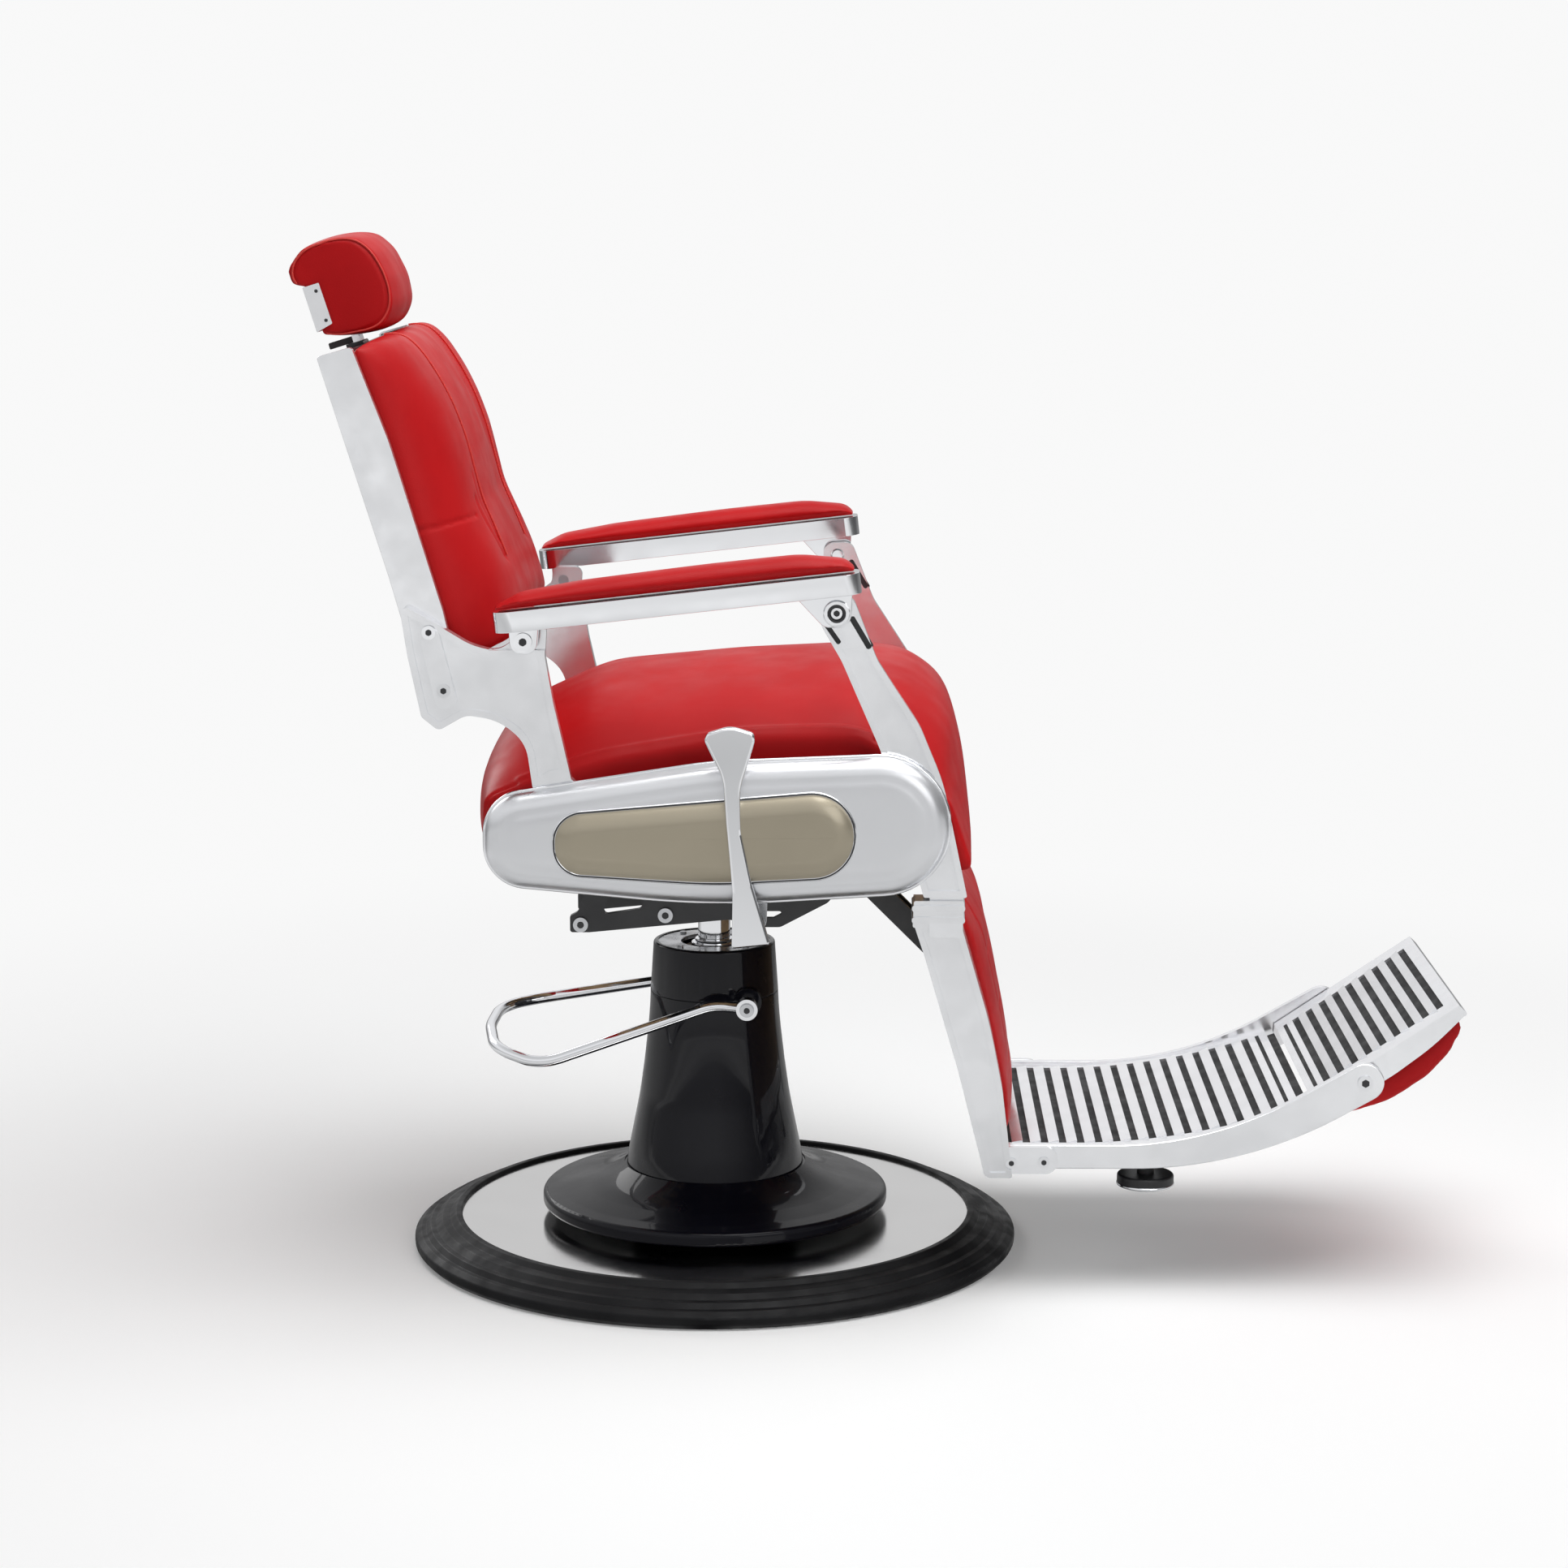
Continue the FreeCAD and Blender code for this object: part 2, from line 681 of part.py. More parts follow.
def back_crossbars():
    """Top bar with the headrest's socket, and a lower bar, between the rails."""
    reach = rail_side - 3
    top = back_slab([(268, -9), (295, -9), (295, 15), (268, 15)], -reach, reach)
    socket = back_slab([(190, -9), (299, -9), (299, 5, 2), (190, 5)], -22, 22)
    shelf = back_slab([(293, -15), (299, -15), (299, -9), (293, -9)], -12, 12)
    low, high = post_back - running_gap, post_front + running_gap
    half_slot = 15 + running_gap
    slot = back_slab([(180, low), (310, low), (310, high), (180, high)], -half_slot, half_slot)
    lower = back_slab([(-14, -9), (16, -9), (16, 15), (-14, 15)], -reach, reach)
    return [top.fuse([socket, shelf]).removeSplitter().cut(slot), lower]


def back_panel():
    """Upholstered board between the rails at the rear."""
    return back_slab([(-48, -12, 1), (292, -12, 1), (292, -9), (-48, -9)], -237, 237)


def back_cushion():
    block = back_slab(
        [(2, 2, 12), (298, 2, 12), (302, 52, 20), (276, 84, 30), (218, 92, 90), (107, 94, 200),
         (14, 102, 120), (-36, 108, 18), (-38, 72, 30), (-20, 36, 15)],
        -238, 238,
    )
    return cushion(block, 238, 9).cut(back_slab([(-60, 0), (320, 0), (320, 15), (-60, 15)], -240, 240))


def back_bracket():
    """Right-hand casting from the seat pivot up to the rail and the arm's rear pivot."""
    outline = [
        (-128, 528, 16), (-136, 566, 60), (-152, 637, 150), (-160, 684, 30), (-158, 716, 8), (-192, 716, 7),
        (-193, 699, 9), (-207, 688.5, 22), (-234, 695, 70), (-270, 717, 60), (-306, 738, 6),
        (-298, 684, 80), (-285, 622, 6), (-268, 608, 8), (-240, 624, 20), (-207, 619, 60), (-180, 596, 40),
        (-170, 524, 18),
    ]
    plate = slab(outline, -linkage_out, -rail_side)
    eye = cross_pin(21, back_pivot, -linkage_out, -rail_side)
    strip = slab(
        [(-288, 715, 9), (-267, 711, 9), (-247, 634, 8), (-269, 629, 8)], -linkage_out - 2, -linkage_out + 3
    )
    border = rounded_outline(outline, xz(-linkage_out)).makeOffset2D(-7)
    pocket = Part.Face(border).extrude(V(0, 2.5, 0)).cut(cross_pin(27, back_pivot, -270, -250))
    ear = box(-216, -140, -linkage_out, -linkage_out + 7, 690, 730)
    plate = plate.fuse(eye).removeSplitter().cut([pocket, ear]).fuse(strip).removeSplitter()
    plate = plate.cut(cross_pin(arm_pin_radius, arm_rear_pivot, -270, -240))
    for point in back_screw_points:
        plate = plate.cut(cross_pin(4, point, -270, -240))
    return plate.cut(cross_pin(back_pin_radius + running_gap, back_pivot, -270, -240))


def back_fasteners():
    """Bracket screws into the rails, and the pins that the arms turn on."""
    parts = []
    for point in back_screw_points:
        near = cross_pin(4, point, -linkage_out - 2, -rail_side)
        parts.append(near.fuse(screw_head(7, point, -linkage_out - 3.5, -linkage_out - 2)))
    pin = cross_pin(arm_pin_radius, arm_rear_pivot, -lug_out - 1, -rail_side)
    parts.append(pin.fuse(screw_head(9, arm_rear_pivot, -lug_out - 4, -lug_out - 1)))
    return parts + [mirrored(p) for p in parts]


# Headrest

def headrest_post():
    """Flat bar that slides in the socket, welded to a chrome yoke behind the pad."""
    bar = back_slab([(112, post_back, 2), (345, post_back), (345, post_front), (112, post_front, 2)], -15, 15)
    block = back_slab([(326, -24), (345, -24), (345, post_back), (326, post_back)], -15, 15)
    web = back_slab([(321, -26.8, 1), (369, -26.8, 1), (369, -23.8), (321, -23.8)], -101.5, 101.5)
    wing = back_slab([(321, -26.8, 1), (369, -26.8, 1), (369, -9, 1), (325, -8.6, 1)], -101.5, -98.5)
    return bar.fuse([block, web, wing, mirrored(wing)]).removeSplitter()


def headrest_pad():
    """Bean-shaped roll: full in front, with a nose over the yoke."""
    outline = [
        (307, 20, 30), (306, 58, 24), (330, 82, 30), (372, 84, 34), (408, 62, 34), (414, 18, 60),
        (408, -26, 22), (388, -40, 9), (375, -34, 8), (371, -23.8), (319, -23.8, 8), (311, -12, 20),
    ]
    pad = back_slab(outline, -98.5, 98.5)
    pad = cushion(pad, 98.5, 6)
    high = post_front + 0.3
    return pad.cut(back_slab([(300, -24), (345.5, -24), (345.5, high), (300, high)], -15.3, 15.3))


def headrest_catch():
    """Small ribbed lever behind the top bar that frees the post."""
    blade = back_slab([(299.2, -33, 1), (306, -33, 1.5), (306, -9), (299.2, -9)], -9, 9)
    for t in (-31, -28.5, -26, -23.5):
        blade = blade.cut(back_slab([(305, t), (307, t), (307, t + 1.2), (305, t + 1.2)], -9, 9))
    barrel = cross_pin(catch_barrel_radius, back_point(*catch_axis), -9, 9)
    return blade.fuse(barrel).removeSplitter()


# Armrests

def placed_on_arm(shape):
    """Lifts a piece drawn level, with its rear end at x 0, to the arm's slope."""
    shape.rotate(ORIGIN, V(0, 1, 0), -arm_slope)
    shape.translate(V(arm_corner[0], 0, arm_corner[1]))
    return shape


def arm_plan(inset):
    """Outline from above: broad and round-ended."""
    return [(inset, -arm_out + inset, 20 - inset), (arm_length - inset, -arm_out + inset, 16 - inset),
            (arm_length - inset, -arm_in - inset, 16 - inset), (inset, -arm_in - inset, 20 - inset)]


def arm_channel():
    """Chrome tray under the right pad, with a lug for each pivot and the front pin."""
    tray = level_slab(arm_plan(0), -channel_height, 0).cut(level_slab(arm_plan(3), -channel_height - 1, -3))
    tray = placed_on_arm(tray)
    rear = slab([(-196, 745), (-193, 688, 12), (-167, 688, 12), (-162, 745)], -lug_out, -lug_in)
    front = slab(
        [(84, 780), (92, 746, 8), (120, 716, 13.5), (147, 715, 13.5), (150, 780)], -lug_out, -lug_in
    )
    under_tray = placed_on_arm(box(3, arm_length - 3, -arm_out, -arm_in, -80, -2.5))
    body = tray.fuse([rear.common(under_tray), front.common(under_tray)]).removeSplitter()
    body = body.cut(cross_pin(arm_pin_radius + running_gap, arm_rear_pivot, -300, -250))
    pin = cross_pin(arm_pin_radius, arm_front_pivot, -lug_in, -linkage_in + 1)
    boss = cross_pin(13, arm_front_pivot, -lug_out - 3, -lug_out)
    recess = cross_pin(9, arm_front_pivot, -lug_out - 4, -lug_out + 3)
    head = screw_head(6, arm_front_pivot, -lug_out - 1, -lug_out + 3)
    return body.fuse([pin, boss]).cut(recess).fuse(head).removeSplitter()


def arm_pad():
    """Crowned pad: long taper at the rear, short one at the front."""
    top = slab(
        [(2, 0), (3, 5, 4), (28, 17, 50), (90, 23, 200), (220, 25, 900), (310, 25, 120), (362, 14, 24),
         (arm_length - 2, 0)],
        -arm_out + 1, -arm_in - 1,
    )
    plan = level_slab(arm_plan(1), -1, 40)
    pad = top.common(plan)
    return placed_on_arm(pad)


# Leg frame

strut_corners = [
    (117, 743, 12), (149, 745, 12), (174, 680, 60), (217, 614, 90), (241, 556, 200), (266, 438, 2),
    (222, 438, 2), (203, 505, 200), (178, 588, 150), (138, 680, 100), (117, 716, 20),
]
tongue_corners = [(228, 396, 4), (262, 396, 4), (262, 440), (228, 440)]


def leg_strut():
    """Right-hand strut, from the arm down past the seat pivot: a cast bar with a raised border."""
    bar = slab(strut_corners, -linkage_out, -linkage_in)
    eye = cross_pin(15, leg_pivot, -linkage_out, -linkage_in)
    bar = bar.fuse(eye).removeSplitter()
    border = rounded_outline(strut_corners, xz(-linkage_out)).makeOffset2D(-6)
    pocket = Part.Face(border).extrude(V(0, 4, 0)).common(box(100, 300, -280, -240, 445, 692))
    pocket = pocket.cut(cross_pin(19, leg_pivot, -280, -240))
    bar = bar.cut(pocket)
    rear_slot = slab([(120, 716, 2), (134, 696, 2), (138, 699, 2), (124, 719, 2)], -280, -240)
    front_slot = slab([(145, 723, 2.4), (164, 691, 2.4), (169, 694, 2.4), (150, 726, 2.4)], -280, -240)
    bar = bar.cut([rear_slot, front_slot])
    tongue = slab(tongue_corners, -262, -256)
    bar = bar.fuse(tongue).removeSplitter()
    bar = bar.cut(cross_pin(arm_pin_radius + open_pivot_gap, arm_front_pivot, -280, -240))
    return bar.cut(cross_pin(leg_pin_radius + running_gap, leg_pivot, -280, -240))


def leaning(shape):
    """Tilts a right-hand leg piece, drawn upright, so that its foot comes inwards."""
    shape.rotate(V(0, -bar_middle, bar_head), V(1, 0, 0), bar_lean)
    return shape


def down_the_bar(z):
    """The level z measured down the leaning bar."""
    return bar_head - (bar_head - z) / math.cos(math.radians(bar_lean))


def leg_bar():
    """Right-hand bar: ribbed head under the seat, bordered face, and a foot plate for the rail."""
    d = down_the_bar
    corners = [
        (212, d(412)), (223, d(378), 300), (260.5, d(246), 900), (284, d(150), 60), (289, d(127), 9),
        (318, d(127), 2), (311, d(184), 60), (306, d(227), 300), (292, d(300), 900), (272, d(371), 300),
        (260, d(412)),
    ]
    outer, inner = -bar_middle - bar_thickness / 2, -bar_middle + bar_thickness / 2
    bar = slab(corners, outer, inner)
    border = rounded_outline(corners, xz(outer)).makeOffset2D(-6)
    bar = bar.cut(Part.Face(border).extrude(V(0, 2, 0)))
    head = slab([(211, d(408), 2), (262, d(408), 2), (263, bar_head, 2), (212, bar_head, 2)], outer, inner)
    ridges = []
    for z in (416, 429):
        ridge = [(210, z - 3.5, 3), (264, z - 3.5, 3), (264, z + 3.5, 3), (210, z + 3.5, 3)]
        ridges.append(slab(ridge, outer - 1.5, inner))
    bar = leaning(bar.fuse([head] + ridges).removeSplitter())
    foot = slab([(287, 128, 6), (366, 128, 14), (366, 157, 14), (300, 157, 2)], -rail_out - 8, -rail_out)
    bar = bar.fuse(foot).removeSplitter()
    bar = bar.cut(box(280, 400, -rail_out, -150, 100, 160)).cut(box(180, 400, -300, -200, 437, 460))
    bar = bar.cut(slab(tongue_corners, -262, -256))
    for point in leg_screw_points:
        bar = bar.cut(cross_pin(4, point, -rail_out - 9, -rail_out))
        bar = bar.cut(cross_pin(6.5, point, -rail_out - 30, -rail_out - 8))
    return bar


leg_screw_points = [(317, 140), (351, 141)]
bumper_x = 461


def stop_tooth(start, end, y0, y1):
    """A tooth round the step's hinge, between two angles, that carries the step at rest."""
    angles = [math.radians(a) for a in (start, (start + end) / 2, end)]
    ring = [(17, angles[0]), (17, angles[1]), (17, angles[2]), (9, angles[2]), (9, angles[1]), (9, angles[0])]
    return slab([(flip_pin[0] + r * math.cos(a), flip_pin[1] + r * math.sin(a)) for r, a in ring], y0, y1)


def footrest_rail():
    """Right-hand rail: level by the foot, then swept up to the hinge of the flip step."""
    end = math.radians(30)
    radius = 20
    tip_x, tip_z = flip_pin
    below = (tip_x + radius * math.sin(end), tip_z - radius * math.cos(end))
    above = (tip_x - radius * math.sin(end), tip_z + radius * math.cos(end))
    ahead = (radius * math.cos(end), radius * math.sin(end))
    level_low, level_high = 131.5, 157
    rail = slab(
        [
            (298, level_low, 2),
            (below[0] - (below[1] - level_low) / math.tan(end), level_low, 450),
            (below[0] + ahead[0], below[1] + ahead[1], radius - 0.1),
            (above[0] + ahead[0], above[1] + ahead[1], radius - 0.1),
            (above[0] - (above[1] - level_high) / math.tan(end), level_high, 400),
            (298, level_high, 2),
        ],
        -rail_out, -rail_in,
    )
    rail = rail.makeFillet(1.5, end_edges(rail, -rail_out))
    rail = rail.fuse(stop_tooth(250, 280, -rail_in, -rail_in + 2.5)).removeSplitter()
    for point in leg_screw_points:
        rail = rail.cut(cross_pin(4, point, -rail_out, -rail_in))
    return rail.cut(cross_pin(flip_pin_radius, flip_pin, -rail_out - 1, -rail_in + 4))


def tread_path(x):
    """Height and slope of the fixed tread at x: level, then bent up over a large arc."""
    reach = tread_bend_radius * math.tan(tread_rise / 2)
    start = tread_bend_x - reach
    end = tread_bend_x + reach * math.cos(tread_rise)
    if x <= start:
        return tread_level, 0.0
    if x >= end:
        return tread_level + (x - tread_bend_x) * math.tan(tread_rise), tread_rise
    slope = math.asin((x - start) / tread_bend_radius)
    return tread_level + tread_bend_radius * (1 - math.cos(slope)), slope


def tread_sheet(depth, thickness, half_width):
    """A sheet that follows the fixed tread, depth below its top."""
    rise = tread_rise
    end_z = tread_path(tread_end)[0]
    shift = math.tan(rise / 2)

    def line(offset):
        return [
            (tread_start, tread_level - offset),
            (tread_bend_x + offset * shift, tread_level - offset, tread_bend_radius + offset),
            (tread_end + offset * math.sin(rise), end_z - offset * math.cos(rise)),
        ]

    return slab(line(depth) + line(depth + thickness)[::-1], -half_width, half_width)


def at_slope(shape, x, z, slope):
    """Puts a piece drawn at the origin on the tread at (x, z), turned to its slope."""
    shape.rotate(ORIGIN, V(0, 1, 0), -math.degrees(slope))
    shape.translate(V(x, 0, z))
    return shape


def rib(x, z, slope, half_width):
    """Saw-tooth ridge on the bar between two slots, higher at its front edge."""
    length = slot_pitch - slot_width
    corners = [(-length / 2, 0), (length / 2, 0), (length / 2, 2.6), (-length / 2, 0.4)]
    return at_slope(slab(corners, -half_width, half_width), x, z, slope)


def slot(x, z, slope, half_width):
    return at_slope(box(-slot_width / 2, slot_width / 2, -half_width, half_width, -9, 9), x, z, slope)


def footrest_tread():
    """Slotted plate with ridged bars, and a strap under it for the bumpers."""
    plate = tread_sheet(0, plate_thickness, rail_in)
    ribs = []
    slots = []
    count = 16
    for i in range(count):
        x = 315 + i * slot_pitch * (1 - 0.0018 * i)
        slots.append(slot(x, *tread_path(x), slot_reach))
        middle = x + slot_pitch / 2
        if i < count - 1:
            ribs.append(rib(middle, *tread_path(middle), slot_reach))
    strap = box(bumper_x - 16, bumper_x + 16, -rail_in, rail_in, 134, 139)
    return [plate.fuse(ribs).cut(slots).removeSplitter(), strap]


def tread_rubber():
    """Black mat under the slots."""
    return tread_sheet(plate_thickness, 4, rail_in)


def foot_bumpers():
    """Rubber-edged discs under the footrest."""
    disc = turned(
        [(0, 104), (27, 104, 1), (27, 107), (30, 107, 1.5), (30, 118, 3), (9, 118), (9, 134), (0, 134)]
    )
    bumpers = []
    for side in (-1, 1):
        bumper = disc.copy()
        bumper.translate(V(bumper_x, side * 148, 0))
        bumpers.append(bumper)
    return bumpers


def leg_crank():
    """Cross tube between the bars, with the two arms that the lock's rod pulls on."""
    drop = bar_head - crank_tube[1]
    reach = bar_middle - bar_thickness / 2 - drop * math.tan(math.radians(bar_lean)) + 1
    tube = cross_pin(11, crank_tube, -reach, reach)
    between = between_bars(-bar_thickness / 2 - 0.01)
    tube = tube.common(between)
    along_arm = V(crank_tube[0] - crank_pin[0], 0, crank_tube[1] - crank_pin[1])
    across = V(-along_arm.z, 0, along_arm.x).normalize() * 12
    start = V(crank_pin[0], 0, crank_pin[1]) - along_arm.normalize() * 12
    end = V(crank_tube[0], 0, crank_tube[1])
    arm = slab(
        [(start.x + across.x, start.z + across.z, 11.5), (end.x + across.x, end.z + across.z),
         (end.x - across.x, end.z - across.z), (start.x - across.x, start.z - across.z, 11.5)],
        -19, -11,
    )
    pin = cross_pin(crank_pin_radius, crank_pin, -23, 23)
    return tube.fuse([arm, mirrored(arm), pin]).removeSplitter()


def between_bars(margin):
    """The space between the two leaning bars, from their middle planes, less a margin."""
    lean = math.radians(bar_lean)
    edge = bar_middle + margin / math.cos(lean)
    low = 80
    low_edge = edge - (bar_head - low) * math.tan(lean)
    corners = [V(0, -edge, bar_head), V(0, edge, bar_head), V(0, low_edge, low), V(0, -low_edge, low)]
    return Part.Face(Part.makePolygon(corners + [corners[0]])).extrude(V(500, 0, 0))


def calf_board():
    """Board between the bars, behind the calf pad."""
    board = slab(
        [(236, 425), (244, 378, 300), (264, 312, 900), (281, 244, 900), (297, 184, 400), (300, 168),
         (308, 168), (305, 184, 400), (289, 244, 900), (272, 312, 900), (252, 378, 300), (244, 425)],
        -250, 250,
    )
    return board.common(between_bars(-bar_thickness / 2 - 0.01))


def calf_pad():
    pad = slab(
        [(244, 425, 3), (252, 378, 300), (272, 312, 900), (289, 244, 900), (305, 184, 400), (308, 168, 3),
         (324, 170, 12), (326, 214, 120), (316, 280, 400), (302, 345, 400), (292, 390, 60), (268, 425, 10)],
        -250, 250,
    )
    return pad.common(between_bars(-bar_thickness / 2 - 3))


def leg_screws():
    """Foot plate screws, and the pins that the flip step turns on."""
    parts = []
    for point in leg_screw_points:
        near = cross_pin(4, point, -rail_out - 8, -rail_in)
        parts.append(near.fuse(screw_head(6, point, -rail_out - 10, -rail_out - 8)))
    pin = cross_pin(flip_pin_radius, flip_pin, -rail_out, -flip_side + 3)
    parts.append(pin.fuse(screw_head(8, flip_pin, -rail_out - 3, -rail_out)))
    return parts + [mirrored(p) for p in parts]


# Flip step

flip_side = 171


def flip_frame():
    """Pressed step with side walls, a slotted tread and a boss and stop at each hinge pin."""
    run = math.atan2(flip_end[1] - flip_start[1], flip_end[0] - flip_start[0])
    wall = slab(
        [(flip_start[0], flip_start[1]), (flip_end[0] - 3, flip_end[1] - 2, 3), (791, 297, 3),
         (757, 262, 250), (712, 227, 250), (642, 188, 8), (631, 190, 3)],
        -flip_side, -flip_side + 3,
    )
    drop = (plate_thickness * math.sin(run), -plate_thickness * math.cos(run))
    plate = slab(
        [flip_start, flip_end, (flip_end[0] + drop[0], flip_end[1] + drop[1]),
         (flip_start[0] + drop[0], flip_start[1] + drop[1])],
        -flip_side, flip_side,
    )
    lip = slab([(783, 306, 2), (792, 297, 2), (789, 294), (780, 303)], -flip_side, flip_side)
    boss = cross_pin(11, flip_pin, -flip_side, -flip_side + 3)
    boss = boss.fuse(stop_tooth(280.2, 310, -flip_side - 2.5, -flip_side))
    body = plate.fuse([wall, mirrored(wall), lip, boss, mirrored(boss)])
    ribs = []
    slots = []
    for i in range(9):
        along_run = 24 + i * 17.6
        x = flip_start[0] + along_run * math.cos(run)
        z = flip_start[1] + along_run * math.sin(run)
        slots.append(slot(x, z, run, 140))
        if i < 8:
            ribs.append(rib(x + 8.8 * math.cos(run), z + 8.8 * math.sin(run), run, 140))
    body = body.fuse(ribs).cut(slots).removeSplitter()
    bore = cross_pin(flip_pin_radius + running_gap, flip_pin, -flip_side - 4, flip_side + 4)
    return body.cut(bore)


def flip_rubber():
    """Mat under the slots of the flip step."""
    run = math.atan2(flip_end[1] - flip_start[1], flip_end[0] - flip_start[0])
    near, far = plate_thickness, plate_thickness + 4
    sine, cosine = math.sin(run), math.cos(run)
    x0, z0 = flip_start[0] + 3 * cosine, flip_start[1] + 3 * sine
    x1, z1 = flip_end[0] - 10 * cosine, flip_end[1] - 10 * sine
    return slab(
        [(x0 + near * sine, z0 - near * cosine), (x1 + near * sine, z1 - near * cosine),
         (x1 + far * sine, z1 - far * cosine), (x0 + far * sine, z0 - far * cosine)],
        -157, 157,
    )


def flip_pad():
    """Padded back of the step: it faces up when the step is turned over."""
    half = flip_side - 3
    return slab(
        [(643, 192), (712, 231, 250), (757, 266, 250), (786, 295), (793, 280, 10), (781, 252, 30),
         (758, 226, 60), (717, 197, 90), (660, 179, 60), (643, 179, 3)],
        -half, half,
    )


def build():
    os.makedirs("parts", exist_ok=True)

    save("base_plate", base_plate())
    save("base_bolts", *base_bolts())
    save("rubber_ring", rubber_ring())
    save("mirror_disc", mirror_disc())
    save("column_skirt", column_skirt())
    save("column_housing", column_housing())
    save("column_head", column_head())
    save("head_cover", head_cover())
    save("pump_cylinder", pump_cylinder())
    save("gland_nut", gland_nut())
    save("pump_block", pump_block())
    save("pump_plunger", pump_plunger())

    save("ram", ram())
    save("swivel_bearing", swivel_bearing())

    save("pedal_shaft", pedal_shaft())
    save("pedal_loop", pedal_loop())
    save("pedal_screws", *pedal_screws())

    save("seat_mount", seat_mount())
    save("cradle_bolts", *cradle_bolts())
    save("cross_channels", *cross_channels())
    save("side_plates", *side_plates())
    save("pivot_pins", *pivot_pins())
    save("seat_pan", seat_pan())
    save("seat_cushion", seat_cushion())
    save("seat_aprons", *seat_aprons())
    save("shell_standoffs", *shell_standoffs())
    save("shell_inlays", *inlays())

    save("lock_cylinder", lock_cylinder())
    save("lock_rod", lock_rod())
    save("recline_lever", recline_lever())
    save("lever_shaft", lever_shaft())

    save("back_crossbars", *back_crossbars())
    save("back_panel", back_panel())
    save("back_cushion", back_cushion())
    save("back_fasteners", *back_fasteners())

    save("headrest_post", headrest_post())
    save("headrest_pad", headrest_pad())
    save("headrest_catch", headrest_catch())

    save("leg_crank", leg_crank())
    save("calf_board", calf_board())
    save("calf_pad", calf_pad())
    save("footrest_tread", *footrest_tread())
    save("tread_rubber", tread_rubber())
    save("foot_bumpers", *foot_bumpers())
    save("leg_screws", *leg_screws())

    save("flip_frame", flip_frame())
    save("flip_rubber", flip_rubber())
    save("flip_pad", flip_pad())

    pairs = {
        "side_shells": side_shell, "back_rails": back_rail, "back_brackets": back_bracket,
        "leg_struts": leg_strut, "leg_bars": leg_bar, "footrest_rails": footrest_rail,
    }
    for name, make in pairs.items():
        right = make()
        save(name, right, mirrored(right))

    arms = {"arm_channel": arm_channel, "arm_pad": arm_pad}
    for name, make in arms.items():
        right = make()
        save(name + "_right", right)
        save(name + "_left", mirrored(right))


build()
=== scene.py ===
import json
import math

import bpy
import numpy as np
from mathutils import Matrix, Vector
from mathutils.bvhtree import BVHTree

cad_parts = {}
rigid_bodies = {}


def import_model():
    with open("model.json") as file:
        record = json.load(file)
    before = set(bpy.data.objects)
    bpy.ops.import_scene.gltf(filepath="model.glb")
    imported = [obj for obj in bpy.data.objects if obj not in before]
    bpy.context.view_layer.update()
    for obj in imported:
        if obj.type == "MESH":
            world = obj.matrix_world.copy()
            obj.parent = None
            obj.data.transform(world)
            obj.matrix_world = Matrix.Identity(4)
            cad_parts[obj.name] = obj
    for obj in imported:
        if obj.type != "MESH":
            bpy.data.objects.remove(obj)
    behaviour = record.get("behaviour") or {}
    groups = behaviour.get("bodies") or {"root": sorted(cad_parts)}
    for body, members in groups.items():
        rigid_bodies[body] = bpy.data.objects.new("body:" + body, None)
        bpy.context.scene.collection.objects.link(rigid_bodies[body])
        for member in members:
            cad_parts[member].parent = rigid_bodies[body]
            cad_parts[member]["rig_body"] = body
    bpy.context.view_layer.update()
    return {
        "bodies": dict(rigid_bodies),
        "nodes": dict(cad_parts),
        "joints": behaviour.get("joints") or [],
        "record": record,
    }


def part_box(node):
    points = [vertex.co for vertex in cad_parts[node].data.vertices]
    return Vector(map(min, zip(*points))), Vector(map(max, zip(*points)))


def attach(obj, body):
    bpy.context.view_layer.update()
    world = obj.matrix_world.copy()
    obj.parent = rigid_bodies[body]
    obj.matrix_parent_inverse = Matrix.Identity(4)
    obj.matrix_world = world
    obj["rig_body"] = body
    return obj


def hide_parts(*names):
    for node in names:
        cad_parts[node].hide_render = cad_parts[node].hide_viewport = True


# Barber chair: upholstery, side covers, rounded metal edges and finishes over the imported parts.
# Metres, +X to the front, +Y to the sitter's left, +Z up. Outlines are given in mm.

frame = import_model()
nodes = frame["nodes"]
print("frame loaded:", len(nodes), "nodes")

mm = 0.001
sides = ((-1, "Right"), (1, "Left"))


# Small tools

def only(*objects):
    bpy.ops.object.select_all(action="DESELECT")
    for obj in objects:
        obj.select_set(True)
    bpy.context.view_layer.objects.active = objects[-1]


def editing(obj):
    only(obj)
    bpy.ops.object.mode_set(mode="EDIT")
    bpy.ops.mesh.select_all(action="SELECT")


def done(obj, angle=None):
    bpy.ops.object.mode_set(mode="OBJECT")
    only(obj)
    bpy.ops.object.transform_apply(location=True, rotation=True, scale=True)
    if angle is None:
        bpy.ops.object.shade_smooth()
    else:
        bpy.ops.object.shade_smooth_by_angle(angle=math.radians(angle))
    return obj


def places(obj, kind="co"):
    # of all points, or their normals
    values = np.empty(len(obj.data.vertices) * 3, np.float32)
    obj.data.vertices.foreach_get(kind, values)
    return values.reshape(-1, 3).astype(float)


def moveTo(obj, co):
    obj.data.vertices.foreach_set("co", np.asarray(co, np.float32).ravel())
    obj.data.update()


def addModifier(obj, kind, **settings):
    only(obj)
    bpy.ops.object.modifier_add(type=kind)
    modifier = obj.modifiers[-1]
    for key, value in settings.items():
        setattr(modifier, key, value)
    return modifier


def applyModifier(obj, kind, **settings):
    modifier = addModifier(obj, kind, **settings)
    bpy.ops.object.modifier_apply(modifier=modifier.name)


